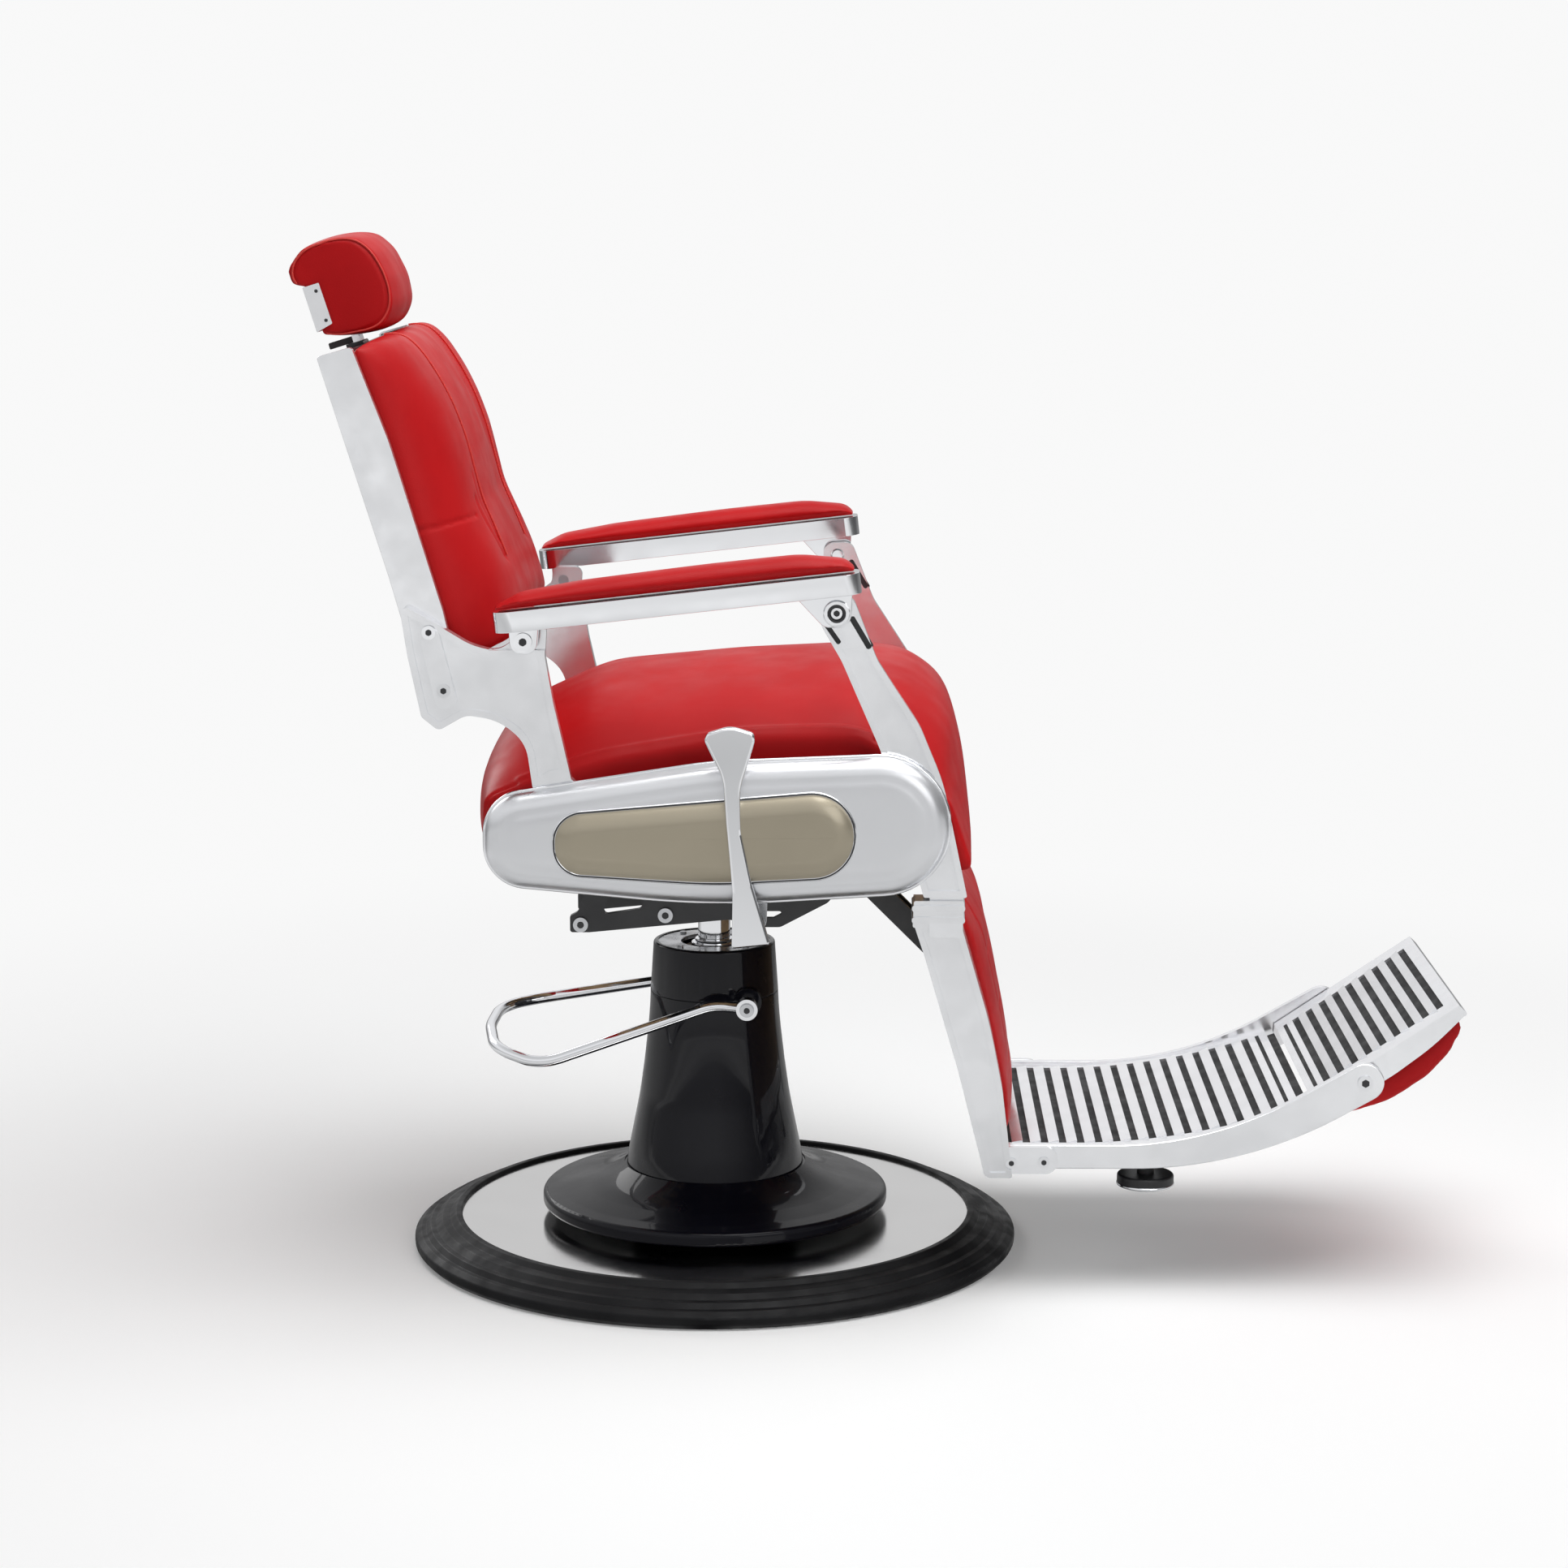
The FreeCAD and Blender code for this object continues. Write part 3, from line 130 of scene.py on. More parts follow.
def roundedPoints(corners, steps=5):
    # corners (u, v, radius) in mm, in order; each radius becomes an arc of a few points
    points = []
    count = len(corners)
    for i, corner in enumerate(corners):
        here = Vector(corner[:2])
        radius = corner[2] if len(corner) > 2 else 0
        if radius == 0:
            points.append(here)
            continue
        arriving = (here - Vector(corners[i - 1][:2])).normalized()
        leaving = (Vector(corners[(i + 1) % count][:2]) - here).normalized()
        halfTurn = arriving.angle(leaving) / 2
        reach = radius * math.tan(halfTurn)
        middle = here + (leaving - arriving).normalized() * (radius / math.cos(halfTurn))
        start = here - arriving * reach - middle
        end = here + leaving * reach - middle
        turn = start.angle_signed(end)
        for k in range(steps + 1):
            a = -turn * k / steps
            x = start.x * math.cos(a) - start.y * math.sin(a)
            y = start.x * math.sin(a) + start.y * math.cos(a)
            points.append(middle + Vector((x, y)))
    return points


def smoothPath(points, spacing):
    # Catmull-Rom through given points, resampled at even steps
    points = [Vector(p) for p in points]
    ends = [2 * points[0] - points[1]] + points + [2 * points[-1] - points[-2]]
    fine = []
    for a, b, c, d in zip(ends, ends[1:], ends[2:], ends[3:]):
        for k in range(16):
            t = k / 16
            fine.append(0.5 * (2 * b + (c - a) * t + (2 * a - 5 * b + 4 * c - d) * t * t
                               + (3 * b - a - 3 * c + d) * t ** 3))
    fine.append(points[-1])
    path = [fine[0]]
    travelled = 0.0
    for before, after in zip(fine, fine[1:]):
        step = (after - before).length
        while step > 0 and travelled + step >= spacing:
            before = before + (after - before) * ((spacing - travelled) / step)
            path.append(before)
            step = (after - before).length
            travelled = 0.0
        travelled += step
    if (path[-1] - fine[-1]).length > spacing * 0.4:
        path.append(fine[-1])
    return path


def drawProfile(name, points):
    # a closed outline, drawn point by point, then filled
    bpy.ops.object.select_all(action="DESELECT")
    bpy.ops.mesh.primitive_plane_add(size=2 * mm, location=points[0])
    obj = bpy.context.object
    obj.name = name
    bpy.ops.object.mode_set(mode="EDIT")
    bpy.ops.mesh.merge(type="CENTER")
    for here, there in zip(points, points[1:]):
        bpy.ops.mesh.extrude_region_move(TRANSFORM_OT_translate={"value": there - here})
    bpy.ops.mesh.select_all(action="SELECT")
    bpy.ops.mesh.edge_face_add()
    return obj


def profileBlock(name, outline, place, stations):
    # the outline filled across the chair, with a slice at each station
    obj = drawProfile(name, [place(p.x, p.y, stations[0]) for p in roundedPoints(outline)])
    for here, there in zip(stations, stations[1:]):
        bpy.ops.mesh.extrude_region_move(TRANSFORM_OT_translate={"value": (0, there - here, 0)})
    bpy.ops.mesh.select_all(action="SELECT")
    bpy.ops.mesh.normals_make_consistent(inside=False)
    return done(obj)


def tube(name, points, radius, closed):
    # a round cord along a path, as a mesh
    data = bpy.data.curves.new(name, "CURVE")
    data.dimensions = "3D"
    data.bevel_depth = radius
    data.bevel_resolution = 3
    spline = data.splines.new("POLY")
    spline.points.add(len(points) - 1)
    for point, place in zip(spline.points, points):
        point.co = (*place, 1)
    spline.use_cyclic_u = closed
    data.use_fill_caps = not closed
    bpy.context.scene.collection.objects.link(bpy.data.objects.new(name, data))
    only(bpy.data.objects[name])
    bpy.ops.object.convert(target="MESH")
    bpy.ops.object.shade_smooth()
    return bpy.context.object


def torus(name, place, radius, thickness, rotation=(0, 0, 0)):
    # in mm, untransformed when it is done
    bpy.ops.mesh.primitive_torus_add(
        location=[p * mm for p in place], rotation=rotation, major_segments=48, minor_segments=10,
        major_radius=radius * mm, minor_radius=thickness * mm,
    )
    obj = bpy.context.object
    obj.name = name
    return done(obj)


def slices(half, steps=(1, 0.995, 0.985, 0.965, 0.94, 0.91, 0.87, 0.82, 0.75, 0.65, 0.5, 0.33, 0.16)):
    # close together at the sides, where the pad rolls over
    return [-half * k for k in steps] + [0] + [half * k for k in reversed(steps)]


def upright(x, z, y):
    return Vector((x * mm, y, z * mm))


def slanted(setting):
    x, z = setting["start"]
    return x, z, math.cos(setting["slope"]), math.sin(setting["slope"])


backSetting = {"start": (-285, 700), "slope": math.radians(17.2)}


def onBack(s, t, y):
    # s runs up the backrest and t forwards, in mm
    x, z, cos, sin = slanted(backSetting)
    return upright(x - s * sin + t * cos, z + s * cos + t * sin, y)


def backCoordinates(co):
    # (s, t) in mm of points given in metres
    x, z, cos, sin = slanted(backSetting)
    dx, dz = co[:, 0] / mm - x, co[:, 2] / mm - z
    return -dx * sin + dz * cos, dx * cos + dz * sin


# Finishes

finishes = {}
contrast = {"From_Min": 0.35, "From_Max": 0.65}


def setInputs(node, **inputs):
    for socket, value in inputs.items():
        node.inputs[socket.replace("_", " ")].default_value = value
    return node


def newNode(tree, kind, **inputs):
    return setInputs(tree.nodes.new(kind), **inputs)


def fade(tree, source, **reach):
    # a value that goes from one level to another with the source
    node = newNode(tree, "ShaderNodeMapRange", **reach)
    tree.links.new(source, node.inputs["Value"])
    return node


def newFinish(name, colour, metallic=0.0, roughness=0.5, **inputs):
    material = bpy.data.materials.new(name)
    material.use_nodes = True
    shader = material.node_tree.nodes["Principled BSDF"]
    setInputs(shader, Base_Color=(*colour, 1), Metallic=metallic, Roughness=roughness, **inputs)
    finishes[name] = material
    return material


def texture(material, kind, scale, stretch=(1, 1, 1), **inputs):
    tree = material.node_tree
    coordinates = newNode(tree, "ShaderNodeTexCoord")
    mapping = newNode(tree, "ShaderNodeMapping", Scale=stretch)
    node = newNode(tree, kind, Scale=scale, **inputs)
    tree.links.new(coordinates.outputs["Object"], mapping.inputs["Vector"])
    tree.links.new(mapping.outputs["Vector"], node.inputs["Vector"])
    return node


def noise(material, scale, detail=3, stretch=(1, 1, 1)):
    return texture(material, "ShaderNodeTexNoise", scale, stretch, Detail=detail).outputs["Fac"]


def cells(material, scale):
    return texture(material, "ShaderNodeTexVoronoi", scale).outputs["Distance"]


def varyRoughness(material, low, high, scale, **grain):
    tree = material.node_tree
    share = fade(tree, noise(material, scale, **grain), **contrast, To_Min=low, To_Max=high)
    tree.links.new(share.outputs["Result"], tree.nodes["Principled BSDF"].inputs["Roughness"])


def varyColour(material, dark, light, scale, **grain):
    tree = material.node_tree
    share = fade(tree, noise(material, scale, **grain), **contrast)
    node = tree.nodes.new("ShaderNodeMix")
    node.data_type = "RGBA"
    node.inputs["A"].default_value = (*dark, 1)
    node.inputs["B"].default_value = (*light, 1)
    tree.links.new(share.outputs["Result"], node.inputs["Factor"])
    tree.links.new(node.outputs["Result"], tree.nodes["Principled BSDF"].inputs["Base Color"])


def addBump(material, source, height, strength=1.0):
    # one more layer of bump, in metres, over what is there
    tree = material.node_tree
    node = newNode(tree, "ShaderNodeBump", Distance=height, Strength=strength)
    tree.links.new(source, node.inputs["Height"])
    below = tree.nodes["Principled BSDF"].inputs["Normal"]
    if below.is_linked:
        tree.links.new(below.links[0].from_socket, node.inputs["Normal"])
    tree.links.new(node.outputs["Normal"], below)


finish = newFinish("redUpholstery", (0.50, 0.006, 0.008), roughness=0.46, Specular_IOR_Level=0.17)
varyColour(finish, (0.46, 0.005, 0.007), (0.54, 0.008, 0.010), 7, detail=4)
varyRoughness(finish, 0.38, 0.50, 22)
addBump(finish, noise(finish, 38, detail=2), 0.4 * mm, 0.22)
addBump(finish, cells(finish, 750), 0.10 * mm, 0.6)

# lighter than the cover, for the piping cords: part thread colour, part painted highlight along the ridges
finish = newFinish("threadAndPaintedHighlight", (0.66, 0.045, 0.035), roughness=0.6)
addBump(finish, noise(finish, 2500, stretch=(1, 1, 3)), 0.1 * mm)

finish = newFinish("chrome", (0.80, 0.81, 0.83), metallic=1, roughness=0.07)
varyRoughness(finish, 0.04, 0.11, 18, detail=5)

finish = newFinish("polishedCasting", (0.89, 0.90, 0.92), metallic=0.85, roughness=0.2)
varyRoughness(finish, 0.15, 0.25, 30)
varyColour(finish, (0.86, 0.87, 0.89), (0.92, 0.93, 0.95), 25, detail=4)

finish = newFinish("satinShell", (0.74, 0.75, 0.77), metallic=0.85, roughness=0.3)
varyRoughness(finish, 0.27, 0.35, 12, detail=4)
addBump(finish, noise(finish, 1200, 2, (0.06, 1, 1)), 0.03 * mm, 0.3)

finish = newFinish("champagnePanel", (0.37, 0.33, 0.25), metallic=0.8, roughness=0.36,
                   Coat_Weight=0.5, Coat_Roughness=0.1)
varyColour(finish, (0.345, 0.305, 0.228), (0.40, 0.355, 0.268), 4)
addBump(finish, cells(finish, 1600), 0.03 * mm, 0.5)

# turned on a lathe: fine rings round the column
finish = newFinish("mirrorDisc", (0.57, 0.565, 0.56), metallic=1, roughness=0.14)
coordinates = newNode(finish.node_tree, "ShaderNodeTexCoord")
rings = newNode(finish.node_tree, "ShaderNodeTexWave", Scale=180, Distortion=1.5)
rings.wave_type = "RINGS"
rings.rings_direction = "Z"
finish.node_tree.links.new(coordinates.outputs["Object"], rings.inputs["Vector"])
addBump(finish, rings.outputs["Fac"], 0.02 * mm, 0.25)
varyRoughness(finish, 0.10, 0.2, 9, detail=5)

finish = newFinish("blackEnamel", (0.004, 0.004, 0.008), roughness=0.3, Specular_IOR_Level=0.08,
                   Coat_Weight=0.5, Coat_Roughness=0.03)
addBump(finish, noise(finish, 90, detail=2), 0.05 * mm, 0.2)
varyRoughness(finish, 0.25, 0.4, 14, detail=4)

# the same enamel, worn by feet: less gloss than the column
finish = newFinish("skirtEnamel", (0.004, 0.004, 0.008), roughness=0.3, Specular_IOR_Level=0.05,
                   Coat_Weight=0.3, Coat_Roughness=0.04)
varyRoughness(finish, 0.25, 0.4, 14, detail=4)

finish = newFinish("blackRubber", (0.008, 0.008, 0.009), roughness=0.55, Specular_IOR_Level=0.16)
varyColour(finish, (0.005, 0.005, 0.006), (0.011, 0.011, 0.012), 16, detail=5)
varyRoughness(finish, 0.42, 0.6, 40, detail=4)
addBump(finish, noise(finish, 1100, detail=2), 0.08 * mm, 0.5)

finish = newFinish("blackSteel", (0.014, 0.015, 0.018), roughness=0.36, Coat_Weight=0.3, Coat_Roughness=0.2)
addBump(finish, noise(finish, 700), 0.08 * mm, 0.5)
varyRoughness(finish, 0.3, 0.45, 30, detail=4)

finish = newFinish("blackPlastic", (0.016, 0.016, 0.018), roughness=0.42)
addBump(finish, cells(finish, 900), 0.06 * mm, 0.6)
varyRoughness(finish, 0.36, 0.5, 35)

finish = newFinish("steel", (0.60, 0.61, 0.63), metallic=1, roughness=0.26)
varyRoughness(finish, 0.18, 0.34, 40, detail=4)

finish = newFinish("greyRing", (0.60, 0.61, 0.63), metallic=0.7, roughness=0.24)
varyRoughness(finish, 0.18, 0.32, 50)

finish = newFinish("plywood", (0.50, 0.33, 0.18), roughness=0.6)
varyColour(finish, (0.38, 0.23, 0.11), (0.58, 0.40, 0.23), 12, detail=5, stretch=(1, 6, 40))
addBump(finish, noise(finish, 60, stretch=(1, 8, 40)), 0.2 * mm, 0.4)


def paint(obj, finish):
    obj.data.materials.clear()
    obj.data.materials.append(finishes[finish])


def settle(obj, finish, body, slot, *replaced):
    # what every finished piece gets: its finish and the body it rides on; the nodes it stands for are hidden
    paint(obj, finish)
    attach(obj, body)
    if replaced:
        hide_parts(*replaced)


nodeFinishes = {
    "blackSteel": ["base_plate", "seat_mount", "cross_channels", "lever_shaft", "leg_crank", "back_crossbars",
                   "lock_cylinder"],
    "steel": ["base_bolts", "pump_cylinder", "pump_block", "pump_plunger", "swivel_bearing", "cradle_bolts",
              "shell_standoffs", "pedal_shaft", "pedal_screws", "side_plates"],
    "blackRubber": ["rubber_ring", "tread_rubber", "flip_rubber"],
    "mirrorDisc": ["mirror_disc"],
    "blackEnamel": ["column_housing", "column_head"],
    "skirtEnamel": ["column_skirt"],
    "greyRing": ["head_cover"],
    "chrome": ["gland_nut", "ram", "pedal_loop", "pivot_pins", "lock_rod", "back_fasteners",
               "arm_channel_right", "arm_channel_left", "leg_screws", "recline_lever"],
    "satinShell": ["side_shells"],
    "polishedCasting": ["back_rails", "headrest_post", "back_brackets", "leg_struts", "leg_bars",
                        "footrest_rails", "footrest_tread", "flip_frame"],
    "champagnePanel": ["shell_inlays"],
    "plywood": ["seat_pan", "calf_board"],
    "blackPlastic": ["headrest_catch", "foot_bumpers"],
    "redUpholstery": ["back_panel", "seat_cushion", "seat_aprons", "back_cushion", "headrest_pad",
                      "arm_pad_right", "arm_pad_left", "calf_pad", "flip_pad"],
}
for finish, names in nodeFinishes.items():
    for name in names:
        paint(nodes[name], finish)
print("finishes on", sum(len(names) for names in nodeFinishes.values()), "nodes")


# Camera and light

# the focal length and the frame are in pixels, the sensor in mm
cameraSetting = {
    "place": (0.1385, -3.904, 1.183), "pitch": 0.171, "yaw": 0.016,
    "focal": 4511.4, "frame": 1932, "sensor": 36,
}


def setCamera(place, pitch, yaw, focal, frame, sensor):
    bpy.ops.object.camera_add(location=place, rotation=(math.pi / 2 - pitch, 0, yaw))
    camera = bpy.context.object
    camera.data.sensor_width = sensor
    camera.data.lens = sensor * focal / frame
    bpy.context.scene.camera = camera


def levels(tree, source, stops, blue=1.0):
    # a brightness that follows the source: stops are its values with their levels, in order
    low, high = stops[0][0], stops[-1][0]
    reach = newNode(tree, "ShaderNodeMapRange", From_Min=low, From_Max=high)
    colours = newNode(tree, "ShaderNodeValToRGB")
    while len(colours.color_ramp.elements) < len(stops):
        colours.color_ramp.elements.new(0.5)
    for element, (value, level) in zip(colours.color_ramp.elements, stops):
        element.position = (value - low) / (high - low)
        element.color = (level, level, level * blue, 1)
    tree.links.new(source, reach.inputs["Value"])
    tree.links.new(reach.outputs["Result"], colours.inputs["Fac"])
    return colours.outputs["Color"]


def choose(tree, share, first, second):
    # a shader that goes from the first to the second with the share
    mix = tree.nodes.new("ShaderNodeMixShader")
    tree.links.new(share, mix.inputs["Fac"])
    tree.links.new(first.outputs[0], mix.inputs[1])
    tree.links.new(second.outputs[0], mix.inputs[2])
    return mix


roomSetting = {
    "light": (0.98, 0.99, 1, 1), "power": 0.21, "seen": (0.945, 0.945, 0.945, 1),
    # brightness mirrored by the chair, by the height of the direction, and its fall towards the front
    "mirrored": [(-1, 0.6), (-0.02, 0.62), (0.01, 0.4), (0.07, 0.48), (0.2, 0.85), (0.56, 0.95), (0.8, 0.7),
                 (1, 0.6)],
    "blue": 1.01, "ahead": {"From_Min": 0.1, "To_Min": 1, "To_Max": 0.25},
}


def setRoom():
    # a white room: even for the light it gives, uneven where the chair's polished parts mirror it
    world = bpy.data.worlds.new("studio")
    bpy.context.scene.world = world
    world.use_nodes = True
    tree = world.node_tree
    tree.nodes.clear()
    light = newNode(tree, "ShaderNodeBackground", Color=roomSetting["light"], Strength=roomSetting["power"])
    seen = newNode(tree, "ShaderNodeBackground", Color=roomSetting["seen"])
    mirrored = newNode(tree, "ShaderNodeBackground")
    coordinates = newNode(tree, "ShaderNodeTexCoord")
    split = newNode(tree, "ShaderNodeSeparateXYZ")
    tree.links.new(coordinates.outputs["Generated"], split.inputs[0])
    sky = levels(tree, split.outputs["Z"], roomSetting["mirrored"], roomSetting["blue"])
    tree.links.new(sky, mirrored.inputs["Color"])
    ahead = fade(tree, split.outputs["X"], **roomSetting["ahead"])
    tree.links.new(ahead.outputs["Result"], mirrored.inputs["Strength"])
    path = newNode(tree, "ShaderNodeLightPath")
    inGloss = choose(tree, path.outputs["Is Glossy Ray"], light, mirrored)
    toEye = choose(tree, path.outputs["Is Camera Ray"], inGloss, seen)
    out = newNode(tree, "ShaderNodeOutputWorld")
    tree.links.new(toEye.outputs[0], out.inputs["Surface"])


lamps = {
    "ceiling": {"place": (0.7, -0.5, 3.3), "aim": (0.15, 0, 0.5), "size": 2.8, "power": 92},
    "front": {"place": (2.6, -3.8, 2.2), "aim": (0, 0, 0.6), "size": 2.4, "power": 26},
    "rear": {"place": (-2.2, 2.6, 2.2), "aim": (0, 0, 0.7), "size": 1.6, "power": 26},
}


def setLamps():
    # a broad ceiling lamp, a low fill in front and a rim light behind
    for name, lamp in lamps.items():
        bpy.ops.object.light_add(type="AREA", location=lamp["place"])
        obj = bpy.context.object
        obj.name = name
        obj.data.shape = "SQUARE"
        obj.data.size = lamp["size"]
        obj.data.energy = lamp["power"]
        aim = Vector(lamp["aim"]) - Vector(lamp["place"])
        obj.rotation_euler = aim.to_track_quat("-Z", "Y").to_euler()


floorSetting = {
    "size": 60, "matte": (0.86, 0.86, 0.86, 1), "lift": 0.17,
    "glow": (0.945, 0.945, 0.945, 1), "glowReach": {"From_Min": 0.7, "From_Max": 2.2},
    # painted reflections: the brightness the floor glows with for glossy rays, by the distance from the
    # column in metres, dark near the column as painted shade
    "mirrored": [(0.0, 0.2), (0.2, 0.6), (0.45, 0.95), (0.9, 0.7), (1.5, 0.9), (2.3, 0.78), (3.0, 0.68),
                 (3.8, 0.6), (4.9, 0.7), (5.5, 1.0), (6.2, 1.0), (7.2, 0.84), (9.0, 0.95), (13.0, 1.0),
                 (18.0, 0.75)],
    # painted shade behind the chair, and painted reflections as dark and light streaks round the column, by
    # share of a turn
    "behind": {"From_Min": 0.3, "From_Max": 1.5, "To_Min": 1, "To_Max": 0.3},
    "bands": [(0.0, 0.5), (0.10, 0.4), (0.15, 0.7), (0.235, 0.9), (0.2475, 0.08), (0.2525, 0.08),
              (0.265, 0.9), (0.35, 0.7), (0.40, 0.3), (0.46, 0.25), (0.5, 0.6), (0.62, 0.35), (0.75, 0.3),
              (0.9, 0.5)],
    "bandReach": {"From_Min": 0.4, "From_Max": 0.75},
}


def layFloor():
    # white far off, lit and shaded by the chair near it; for glossy rays it glows instead with painted
    # reflections and painted shade, seen in the chair's polished parts
    bpy.ops.mesh.primitive_plane_add(size=floorSetting["size"], location=(0, 0, 0))
    floor = bpy.context.object
    floor.name = "floor"
    material = bpy.data.materials.new("paleFloor")
    material.use_nodes = True
    tree = material.node_tree
    tree.nodes.clear()
    link = tree.links.new

    matte = newNode(tree, "ShaderNodeBsdfDiffuse", Color=floorSetting["matte"])
    glow = newNode(tree, "ShaderNodeEmission", Color=floorSetting["glow"])
    lift = newNode(tree, "ShaderNodeEmission", Strength=floorSetting["lift"])
    lit = newNode(tree, "ShaderNodeAddShader")
    link(matte.outputs[0], lit.inputs[0])
    link(lift.outputs[0], lit.inputs[1])
    coordinates = newNode(tree, "ShaderNodeTexCoord")
    distance = newNode(tree, "ShaderNodeVectorMath")
    distance.operation = "LENGTH"
    link(coordinates.outputs["Object"], distance.inputs[0])
    far = fade(tree, distance.outputs["Value"], **floorSetting["glowReach"])
    far.interpolation_type = "SMOOTHSTEP"
    toEye = choose(tree, far.outputs["Result"], lit, glow)

    around = newNode(tree, "ShaderNodeTexGradient")
    around.gradient_type = "RADIAL"
    link(coordinates.outputs["Object"], around.inputs["Vector"])
    bands = levels(tree, around.outputs["Fac"], floorSetting["bands"])
    clear = fade(tree, distance.outputs["Value"], **floorSetting["bandReach"])
    nearBands = newNode(tree, "ShaderNodeMix")
    nearBands.data_type = "RGBA"
    nearBands.inputs["B"].default_value = (1, 1, 1, 1)
    link(clear.outputs["Result"], nearBands.inputs["Factor"])
    link(bands, nearBands.inputs["A"])
    shade = newNode(tree, "ShaderNodeMix")
    shade.data_type = "RGBA"
    shade.blend_type = "MULTIPLY"
    shade.inputs["Factor"].default_value = 1
    link(levels(tree, distance.outputs["Value"], floorSetting["mirrored"]), shade.inputs["A"])
    link(nearBands.outputs["Result"], shade.inputs["B"])
    # the painted reflections: an emission that only glossy rays see
    mirrored = newNode(tree, "ShaderNodeEmission")
    link(shade.outputs["Result"], mirrored.inputs["Color"])
    split = newNode(tree, "ShaderNodeSeparateXYZ")
    link(coordinates.outputs["Object"], split.inputs[0])
    behind = fade(tree, split.outputs["Y"], **floorSetting["behind"])
    link(behind.outputs["Result"], mirrored.inputs["Strength"])

    path = newNode(tree, "ShaderNodeLightPath")
    plain = choose(tree, path.outputs["Is Camera Ray"], matte, toEye)
    whole = choose(tree, path.outputs["Is Glossy Ray"], plain, mirrored)
    out = newNode(tree, "ShaderNodeOutputMaterial")
    link(whole.outputs[0], out.inputs["Surface"])
    floor.data.materials.append(material)


setCamera(**cameraSetting)
setRoom()
setLamps()
layFloor()
bpy.context.scene.view_settings.view_transform = "Standard"
print("camera, lamps and floor set")


# Upholstery: a block is drawn to the outline, remeshed, swollen as cloth between its seams, then sewn in

def bump(distance, width):
    return np.exp(-(distance / width) ** 2)


def rising(values, low, high):
    # a share that goes from 0 at low to 1 at high
    return np.clip((values - low) / (high - low), 0, 1)


def awayFrom(co, path, batch=20000):
    # distance of each point to a seam's polyline
    starts = np.array([list(p) for p in path[:-1]])
    runs = np.array([list(p) for p in path[1:]]) - starts
    lengths = np.maximum((runs ** 2).sum(1), 1e-12)
    nearest = np.empty(len(co))
    for low in range(0, len(co), batch):
        part = co[low:low + batch, None, :] - starts[None]
        share = np.clip((part * runs[None]).sum(2) / lengths[None], 0, 1)
        gap = part - share[..., None] * runs[None]
        nearest[low:low + batch] = np.sqrt((gap ** 2).sum(2)).min(1)
    return nearest


def evened(rows):
    # each row pulled towards its neighbours, the ends kept
    return [rows[0]] + [(a + 2 * b + c) / 4 for a, b, c in zip(rows, rows[1:], rows[2:])] + [rows[-1]]


def onSurface(obj, path, passes=6):
    # the path laid on the surface, with the steps of the mesh evened out along it
    tree = BVHTree.FromObject(obj, bpy.context.evaluated_depsgraph_get())
    found = [tree.find_nearest(p) for p in path]
    points, normals = [f[0] for f in found], [f[1] for f in found]
    for _ in range(passes):
        points = evened(points)
        normals = [normal.normalized() for normal in evened(normals)]
    return points, normals


coatedCloth = {
    "quality": 4, "mass": 0.25, "tension_stiffness": 12, "compression_stiffness": 12, "shear_stiffness": 5,
    "bending_stiffness": 1.0, "use_pressure": True, "uniform_pressure_force": 4,
}


def swell(obj, pad, rests, seams, frames=20):
    # cloth under pressure, held along the seams and wherever the pad rests on something
    co = places(obj)
    held = rests(co)
    for seam in seams:
        held |= awayFrom(co, seam) < pad["hold"]
    group = obj.vertex_groups.new(name="held")
    group.add([int(i) for i in np.nonzero(held)[0]], 1.0, "REPLACE")
    cloth = addModifier(obj, "CLOTH")
    for key, value in coatedCloth.items():
        setattr(cloth.settings, key, value)
    cloth.settings.effector_weights.gravity = 0
    cloth.settings.vertex_group_mass = "held"
    cloth.collision_settings.use_collision = False
    scene = bpy.context.scene
    for step in range(1, frames + 1):
        scene.frame_set(step)
    swollen = obj.evaluated_get(bpy.context.evaluated_depsgraph_get())
    moved = places(swollen) - co
    scene.frame_set(1)
    obj.modifiers.remove(cloth)
    obj.vertex_groups.remove(group)
    # no point moves further than the cap
    length = np.maximum(np.linalg.norm(moved, axis=1), 1e-9)
    share = pad["cap"] * np.tanh(length / pad["cap"]) / length
    moveTo(obj, co + moved * share[:, None])


def sewIn(obj, seam, width, depth):
    # a groove along a seam, or a ridge where the depth is negative
    co = places(obj)
    gap = awayFrom(co, seam)
    moveTo(obj, co - places(obj, "normal") * (depth * bump(gap, width))[:, None])


def laidOn(obj, path, spacing=4 * mm):
    return onSurface(obj, smoothPath(path, spacing))[0]


def makePad(obj, pad, rests, seamPaths=(), held=()):
    # rests tells which points lie on something; seamPaths are sewn in, held ones only keep the cloth down
    only(obj)
    obj.data.remesh_voxel_size = pad["voxel"]
    bpy.ops.object.voxel_remesh()
    swell(obj, pad, rests, [laidOn(obj, path, 6 * mm) for path in [*seamPaths, *held]])
    applyModifier(obj, "SMOOTH", factor=0.5, iterations=pad["smooth"])
    applyModifier(obj, "SUBSURF", levels=1, render_levels=1)
    for seam in [laidOn(obj, path) for path in seamPaths]:
        sewIn(obj, seam, pad["seamWidth"], pad["seamDepth"])
    only(obj)
    bpy.ops.object.shade_smooth()


def pipe(obj, name, body, paths, radius, lift):
    # a sewn-in piping on each side, which follows the surface along its path
    for (_, side), path in zip(sides, paths):
        points, normals = onSurface(obj, smoothPath(path, 3 * mm))
        points = [point + normal * lift for point, normal in zip(points, normals)]
        # the piping's lighter red is part thread colour and part painted highlight along the seam
        settle(tube(name + side, points, radius, closed=False), "threadAndPaintedHighlight", body, "red_upholstery")


def drawPad(name, pad, place):
    return profileBlock(name, pad["outline"], place, slices(pad["half"]))


def upholster(obj, body, fill, *replaced):
    settle(obj, "redUpholstery", body, "red_upholstery", *replaced)


# Metal: side covers and their panels are modelled here, the other parts are softened copies

